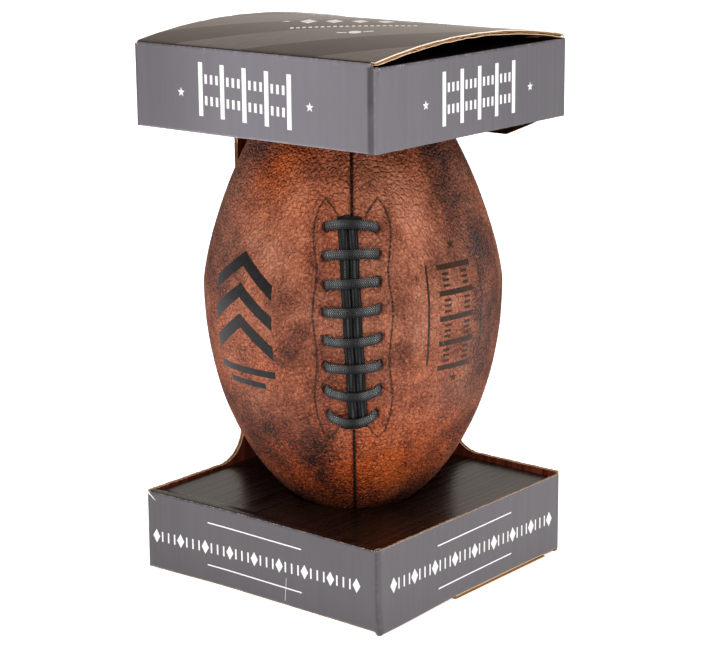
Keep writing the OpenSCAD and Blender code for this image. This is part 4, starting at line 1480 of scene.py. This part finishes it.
def runs():
    parts = []
    for sg in (-1, 1):
        z = np.linspace(-66.0, 49.0, 620)
        arc = -0.35 - 0.0435 * z + sg * (2.62 + 0.12 * np.sin(z / 7.5 * PI / 2 + sg))
        lift = 0.92 + 0.0 * z
        for (zl, zm, zr) in BAR_Z:                # each bar presses them down a little
            lift = lift - 0.25 * np.exp(-((z - zm) / 3.4) ** 2)
        end = np.clip(1 - np.minimum(z + 66.0, 49.0 - z) / 5.0, 0, 1)
        lift = lift - 1.3 * end ** 2
        p, n, ea, ez = frame_on_ball(arc, z)
        path = p + n * lift[:, None]
        t = orient(path)
        side = np.cross(n, t)
        side /= np.linalg.norm(side, axis=1, keepdims=True)
        parts.append(lace_ribbon(path, side, np.cross(t, side), 5.1, 1.3, n_around=44, phase=0.5 * sg, pitch=1.1, amp=0.06, pale=0.24, rib=0.10))
    # the ends are tied off in small knots at the top and bottom of the lacing
    for arc0, z0, w, hgt, tw in ((-4.6, 48.6, 6.0, 2.0, 0.3), (1.6, 48.2, 5.6, 2.0, -0.2), (-3.2, -65.4, 5.8, 1.9, -0.2), (3.0, -64.8, 6.2, 1.9, 0.35)):
        q = np.linspace(-1, 1, 40)
        arc = arc0 + w / 2 * q
        z = z0 + tw * 1.6 * q + 0.25 * np.sin(q * 3)
        p, n, ea, ez = frame_on_ball(arc, z)
        path = p + n * (1.15 * (1 - q ** 2) ** 0.7 + 0.1)[:, None]
        t = orient(path)
        side = np.cross(n, t)
        side /= np.linalg.norm(side, axis=1, keepdims=True)
        parts.append(lace_ribbon(path, side, np.cross(t, side), hgt * 1.6, 1.3, pitch=1.0, phase=arc0, pale=0.2))
    v, f, g = merge(parts)
    return own(link("ball_lace_runs_braid", v, f, [M["lace"]], angle=70, attrs=g), "ball", "lace", "ball_lace_runs")


def bead(path, side, up, w, t, around=8):
    """A short stitch of thread, round in section and drawn in at its ends."""
    n = len(path)
    ang = np.linspace(0, 2 * PI, around, endpoint=False)
    q = np.linspace(-1, 1, n)
    r = np.maximum((1 - np.abs(q) ** 3) ** 0.5, 0.12)
    P = path[:, None, :] + side[:, None, :] * (np.cos(ang)[None, :] * w / 2 * r[:, None])[..., None] \
        + up[:, None, :] * (np.sin(ang)[None, :] * t / 2 * r[:, None])[..., None]
    idx = np.arange(n * around).reshape(n, around)
    nx = np.roll(idx, -1, axis=1)
    faces = [tuple(f) for f in np.stack([idx[:-1], nx[:-1], nx[1:], idx[1:]], -1).reshape(-1, 4).tolist()]
    faces += [tuple(int(i) for i in idx[0][::-1]), tuple(int(i) for i in idx[-1])]
    return P.reshape(-1, 3), faces, np.zeros(n * around)


def stitches():
    parts = []
    lines = []
    zz = np.linspace(-74, 59.3, 600)
    for sg in (-1, 1):
        lines.append((sg * np.interp(zz, FZ, FW), zz))
        for pts in (((13.9, 59.3), (10.3, 54.8), (7.0, 49.7)), ((13.4, -74), (10.2, -70.2), (7.6, -65.7))):
            a = np.array(pts)
            s = np.linspace(0, 2, 80)
            lines.append((sg * np.interp(s, [0, 1, 2], a[:, 0]), np.interp(s, [0, 1, 2], a[:, 1])))
    for x, z in lines:
        d = np.concatenate([[0], np.cumsum(np.hypot(np.diff(x), np.diff(z)))])
        s = 0.8
        while s + 2.3 < d[-1]:
            q = np.linspace(s, s + 2.3, 7)
            ax, az = np.interp(q, d, x), np.interp(q, d, z)
            p, n, ea, ez = frame_on_ball(ax, az)
            e = np.linspace(-1, 1, 7)
            path = p + n * (-0.72 - 0.45 * e ** 4)[:, None]
            t = orient(path)
            side = np.cross(n, t)
            parts.append(bead(path, side / np.linalg.norm(side, axis=1, keepdims=True), n, 0.62, 0.5))
            s += 3.0
    v, f, g = merge(parts)
    return own(link("ball_facing_stitches", v, f, [M["thread"]], angle=60, attrs=g), "ball", "lace")


bars()
runs()
stitches()


def lathe(name, profile, centre, axis, mats, n=48, angle=40):
    """A turned piece: profile is (radius, height) pairs along axis."""
    ax = Vector(axis).normalized()
    e1 = ax.orthogonal().normalized()
    e2 = ax.cross(e1)
    e1, e2, axn = np.array(e1), np.array(e2), np.array(ax)
    V = []
    for r, hh in profile:
        for i in range(n):
            a = 2 * PI * i / n
            V.append(np.array(centre) + axn * hh + e1 * r * math.cos(a) + e2 * r * math.sin(a))
    F = []
    for j in range(len(profile) - 1):
        for i in range(n):
            F.append((j * n + i, j * n + (i + 1) % n, (j + 1) * n + (i + 1) % n, (j + 1) * n + i))
    F.append(tuple(range(n))[::-1])
    F.append(tuple((len(profile) - 1) * n + i for i in range(n)))
    o = link(name, np.array(V), F, mats, angle=angle)
    tidy(o)
    return o


va = math.radians(LACE_AZ + 225)
vax = (math.cos(va), math.sin(va), 0)
vp = (BALL[0] + 85.2 * vax[0], BALL[1] + 85.2 * vax[1], BALL[2])
# a rubber disc in the leather's dimple, with the hole for the pump's needle
own(lathe("ball_valve_cap", [(4.1, -4.2), (4.1, -1.9), (3.9, -1.45), (3.2, -1.2), (2.9, -1.3), (2.5, -1.32), (1.5, -1.1), (1.0, -1.05), (0.7, -1.2),
                             (0.6, -1.6), (0.6, -3.2), (0.3, -3.6)], vp, vax, [M["rubber"]]), "ball", "valve_rubber", "ball_valve")


def dress(node, mat):
    me = frame["nodes"][node].data
    me.materials.clear()
    me.materials.append(M[mat])


M["leather2"] = make_simple("facing_leather", lin(92, 48, 30), lin(124, 70, 46), 260, 0.55, 0.0002)


def shell(name, node, mat, slot, outer, inner):
    """A closed hollow layer of the ball that follows the leather's squarish shape."""
    th = LACE_AZ + np.linspace(0, 360, 121)[:-1]
    zs = np.concatenate([-142 * np.cos(np.linspace(0.02, 0.8, 18)), np.linspace(-97, 98, 70), 137 * np.cos(np.linspace(0.76, 0.02, 18))])
    V, F, n, m = [], [], len(th), len(zs)
    for li, sink in enumerate((outer, inner)):
        TH, Z = np.meshgrid(th, zs, indexing="ij")
        q = ball_surface(TH, Z, sink * np.clip(ball_R(Z) / (sink + 4.0), 0, 1))
        idx = np.arange(n * m).reshape(n, m) + sum(len(v) for v in V)
        nx = np.roll(idx, -1, axis=0)
        f = np.stack([idx[:, :-1], nx[:, :-1], nx[:, 1:], idx[:, 1:]], -1).reshape(-1, 4)
        f = [tuple(t) for t in (f if li == 0 else f[:, ::-1]).tolist()]
        lo, hi = idx[:, 0].tolist(), idx[:, -1].tolist()
        f += [tuple(lo[::-1]), tuple(hi)] if li == 0 else [tuple(lo), tuple(hi[::-1])]
        V.append(q.reshape(-1, 3))
        F += f
    o = link(name, np.concatenate(V), F, [M[mat]], angle=60)
    return own(o, "ball", slot, node)


shell("ball_lining_cloth", "ball_lining", "lining", "ball_lining", 3.2, 4.3)
shell("ball_bladder_rubber", "ball_bladder", "bladder", "ball_bladder", 4.9, 6.3)
dress("ball_facing_left", "leather2")
dress("ball_facing_right", "leather2")


# ------------------------------------------------------------------ printed marks, all plain ornament

def star(cx, cz, r, turn=0.0, inner=0.40):
    return [(cx + (r if i % 2 == 0 else r * inner) * math.sin(PI * i / 5 + turn), cz + (r if i % 2 == 0 else r * inner) * math.cos(PI * i / 5 + turn)) for i in range(10)]


def box2(x0, z0, x1, z1):
    return [(x0, z0), (x1, z0), (x1, z1), (x0, z1)]


def rule(x0, z0, x1, z1, w):
    """A straight line of width w that tapers a little to its ends."""
    dx, dz = x1 - x0, z1 - z0
    L = math.hypot(dx, dz)
    nx, nz = -dz / L * w / 2, dx / L * w / 2
    return [(x0 + nx, z0 + nz), (x0 - nx, z0 - nz), (x1 - nx, z1 - nz), (x1 + nx, z1 + nz)]


def diamond(cx, cz, a, b):
    return [(cx - a, cz), (cx, cz - b), (cx + a, cz), (cx, cz + b)]


def decal(name, polys, place, body, slot, mat, cell=1.5, proud=0.045, sunk=0.05, cell_v=None):
    """Thin printed film: flat outlines cut into cells of that size, then laid on the surface by place(u, v, height)."""
    bm = bmesh.new()
    for poly in polys:
        area = sum(poly[i][0] * poly[(i + 1) % len(poly)][1] - poly[(i + 1) % len(poly)][0] * poly[i][1] for i in range(len(poly)))
        pts = poly if area > 0 else poly[::-1]
        bm.faces.new([bm.verts.new((x, z, 0)) for x, z in pts])
    bmesh.ops.triangulate(bm, faces=[f for f in bm.faces if len(f.verts) > 4])
    xs = [v.co.x for v in bm.verts]
    zs = [v.co.y for v in bm.verts]
    cv = cell_v or cell
    for axis, lo, hi, c in ((0, min(xs), max(xs), cell), (1, min(zs), max(zs), cv)):
        q = math.ceil(lo / c) * c
        while q < hi:
            no = (1, 0, 0) if axis == 0 else (0, 1, 0)
            co = (q, 0, 0) if axis == 0 else (0, q, 0)
            bmesh.ops.bisect_plane(bm, geom=bm.verts[:] + bm.edges[:] + bm.faces[:], plane_co=co, plane_no=no, dist=1e-5)
            q += c
    ext = bmesh.ops.extrude_face_region(bm, geom=bm.faces[:])
    topv = {e for e in ext["geom"] if isinstance(e, bmesh.types.BMVert)}
    bmesh.ops.recalc_face_normals(bm, faces=bm.faces[:])
    bm.verts.index_update()
    top = np.array([v in topv for v in bm.verts])
    co = np.array([v.co[:] for v in bm.verts])
    P = place(co[:, 0], co[:, 1], np.where(top, proud, -sunk)) * 0.001
    for v, p in zip(bm.verts, P):
        v.co = p
    bmesh.ops.recalc_face_normals(bm, faces=bm.faces[:])
    me = bpy.data.meshes.new(name)
    bm.to_mesh(me)
    bm.free()
    me.materials.append(mat)
    o = bpy.data.objects.new(name, me)
    scene.collection.objects.link(o)
    return own(o, body, slot)


def relief(u):
    return 0.055 * (0.5 - 0.5 * np.cos(2 * PI * u / PITCH))


def on_wall(side, bulge=None):
    def f(u, v, hgt):
        dep = relief(u) - hgt + (bulge(u, v) if bulge else 0)
        if side == "A":
            return warp(np.stack([u, -H + dep, v], -1))
        return warp(np.stack([H - dep, u, v], -1))
    return f


TOP_AT, TOP_TURN = (10.0, -10.5), math.radians(38)   # the lid's artwork is set on the slant, facing the front corner


def on_lid_top(u, v, hgt):
    x = TOP_AT[0] + u * math.cos(TOP_TURN) - v * math.sin(TOP_TURN)
    y = TOP_AT[1] + u * math.sin(TOP_TURN) + v * math.cos(TOP_TURN)
    return bow_place(x, y, relief(x) - hgt)


def slanted(polys, k, x0=0.0):
    """The print runs a little out of level."""
    return [[(x, z + k * (x - x0)) for x, z in p] for p in polys]


def field_marks(x0, x1, z0, z1, w):
    """A row of yard lines with short hash marks between them."""
    out = []
    n = 5
    for i in range(n):
        x = x0 + w / 2 + (x1 - x0 - w) * i / (n - 1)
        out.append(box2(x - w / 2, z0, x + w / 2, z1))
    for i in range(n - 1):
        a = x0 + w / 2 + (x1 - x0 - w) * i / (n - 1)
        b = x0 + w / 2 + (x1 - x0 - w) * (i + 1) / (n - 1)
        for j in range(1, 4):
            x = a + (b - a) * j / 4
            for zc in (z0 + (z1 - z0) * 0.30, z0 + (z1 - z0) * 0.70):
                out.append(box2(x - w * 0.3, zc - (z1 - z0) * 0.085, x + w * 0.3, zc + (z1 - z0) * 0.085))
    return out


def lace_marks(x0, x1, zc, hgt):
    """A line of short upright ticks with a diamond at every fourth place."""
    out = []
    n = 33
    for i in range(n):
        x = x0 + (x1 - x0) * i / (n - 1)
        if i % 4 == 0:
            out.append(diamond(x, zc, hgt * 0.32, hgt * 0.5))
        else:
            out.append(box2(x - 0.55, zc - hgt * 0.36, x + 0.55, zc + hgt * 0.36))
    return out


decal("lid_front_print", slanted(field_marks(-37.0, 29.7, 270.4, 299.6, 3.0), -0.028) + [star(-50.3, 283.3, 2.7), star(42.4, 282.7, 2.7)],
      on_wall("A", glue_bulge(0.12)), "case", "printed_board", M["ink"])
decal("lid_right_print", slanted(field_marks(-28.5, 36.8, 269.4, 298.3, 3.0), -0.004) + [star(-42.8, 282.4, 2.7), star(51.0, 282.1, 2.7)],
      on_wall("B"), "case", "printed_board", M["ink"])
crack = [(-85.2, 48.2), (-84.2, 46.3), (-82.6, 45.6), (-81.0, 44.4), (-78.3, 43.2), (-80.8, 45.0), (-82.9, 46.5), (-84.0, 47.8)]
decal("base_front_print", [rule(-38.9, 38.0, 31.4, 37.5, 0.75), rule(-39.6, 12.5, 31.4, 12.2, 0.75)] + slanted(lace_marks(-78.5, 71, 23.9, 8.4), 0.026, -3.7)
      + [crack, rule(20.1, 18.3, 19.0, 4.4, 0.22)],
      on_wall("A", glue_bulge(0.12)), "case", "printed_board", M["ink"])
decal("base_right_print", [rule(-32.5, 36.6, 36.8, 37.4, 0.75), rule(-31.8, 11.4, 37.2, 12.3, 0.75)] + slanted(lace_marks(-71.5, 75, 24.1, 9.0), -0.0167, 1.7),
      on_wall("B"), "case", "printed_board", M["ink"])
M["ink_grey"] = make_ink("ink_pale_grey", lin(226, 220, 212))
lens = [(3.6 * math.cos(q) + 1.5, -24 + 4.4 * math.sin(q)) for q in np.linspace(0, 2 * PI, 15)[:-1]]
decal("lid_top_print",
      [diamond(x, 25.5, 5.0, 9.5) for x in (-26.0, -11.5, 3.0, 17.5)] + [box2(x - 1.0, -2.1, x + 1.0, 2.1) for x in np.linspace(-34, 34, 21)]
      + [lens, rule(-8.5, -22.8, -3.0, -24.2, 2.2), rule(6.0, -24.2, 11.5, -22.8, 2.2), star(-38.5, 27.0, 3.0), star(30.0, 27.0, 3.0)],
      on_lid_top, "lid_top", "lid_board", M["ink_grey"], proud=0.03)


def on_ball(th0):
    """u is arc mm to the right of angle th0 at the ball's middle, v the height above its centre."""
    def f(u, v, hgt):
        th = th0 + np.degrees(u / 85.2)
        d, _, _ = skin(th, v)
        return ball_surface(th, v, d - hgt)
    return f


decal("ball_right_marks",
      [rule(-20.5, 22.5, -20.7, -32.7, 1.3), rule(20.3, 20.8, 20.6, -30.5, 1.3), star(-0.6, -42.8, 3.0), star(-0.3, 31.5, 3.0)]
      + [box2(-13.5, z - 1.5, 12.0, z + 1.5) for z in (20.5, 6.5, -7.5, -21.5, -35.5)]
      + [box2(x - 2.3, z - 0.7, x + 2.3, z + 0.7) for x in (-8.0, 6.5) for zz in (20.5, 6.5, -7.5, -21.5) for z in (zz - 3.9, zz - 7.0, zz - 10.1)],
      on_ball(-7.6), "ball", "ball_leather", M["stamp"], cell=2.4, cell_v=2.4, proud=0.06, sunk=0.15)


def chevron(cx, cz, w, hgt, t):
    return [(cx - w, cz - hgt), (cx - w, cz - hgt - t), (cx, cz - t), (cx + w, cz - hgt - t), (cx + w, cz - hgt), (cx, cz)]


def turned(poly, a, cx=0.0, cz=0.0):
    c, s = math.cos(a), math.sin(a)
    return [(cx + x * c - z * s, cz + x * s + z * c) for x, z in poly]


decal("ball_left_marks",
      [turned(p, math.radians(0), 0, -10) for p in ([chevron(0, 38, 23, 16, 8), chevron(0, 21, 23, 16, 8), chevron(0, 4, 23, 16, 8)]
                                                    + [box2(-23, -30.5, 23, -26.5), box2(-15, -37.5, 15, -34.2)])],
      on_ball(-97.0), "ball", "ball_leather", M["stamp_black"], cell=2.4, cell_v=2.4, proud=0.06, sunk=0.15)


# ------------------------------------------------------------------ floor and light

def floor():
    m = Mat("studio_floor")
    f = m.noise(3, 2.0, 0.5)
    m.set(Base_Color=m.mix(f, (0.90, 0.90, 0.90, 1), (0.93, 0.93, 0.93, 1)), Roughness=0.9)
    m.put(m.b.inputs["Emission Color"], (1.0, 1.0, 1.0, 1))
    m.b.inputs["Emission Strength"].default_value = 0.74
    m.b.inputs["Specular IOR Level"].default_value = 0.0
    bm = bmesh.new()
    n = 64
    rings = [0.0, 0.3, 0.8, 2.0, 6.0, 14.0]
    last = [bm.verts.new((0, 0, -0.0002))]
    for r in rings[1:]:
        cur = [bm.verts.new((r * math.cos(2 * PI * i / n), r * math.sin(2 * PI * i / n), -0.0002)) for i in range(n)]
        for i in range(n):
            j = (i + 1) % n
            if len(last) == 1:
                bm.faces.new((last[0], cur[i], cur[j]))
            else:
                bm.faces.new((last[i], cur[i], cur[j], last[j]))
        last = cur
    me = bpy.data.meshes.new("studio_floor")
    bm.to_mesh(me)
    bm.free()
    me.materials.append(m.m)
    o = bpy.data.objects.new("studio_floor", me)
    scene.collection.objects.link(o)


floor()


def sun(name, az, el, strength, angle, colour=(1, 1, 1)):
    d = bpy.data.lights.new(name, "SUN")
    d.energy = strength
    d.angle = math.radians(angle)
    d.color = colour
    o = bpy.data.objects.new(name, d)
    scene.collection.objects.link(o)
    a, e = math.radians(az), math.radians(el)
    src = Vector((math.cos(a) * math.cos(e), math.sin(a) * math.cos(e), math.sin(e)))
    o.rotation_euler = (-src).to_track_quat("-Z", "Y").to_euler()


# azimuths are measured from +X; the camera stands at -50.2
sun("sun_top", -20, 72, 1.5, 50)


def key_light(az, el, dist, size, power):
    a, e = math.radians(az), math.radians(el)
    at = Vector((0.06, -0.06, 0.17))
    o = area_light("soft_key", at + dist * Vector((math.cos(a) * math.cos(e), math.sin(a) * math.cos(e), math.sin(e))), at, size, power)
    o.visible_camera = False


key_light(-52, 29, 1.25, 1.1, 11.4)
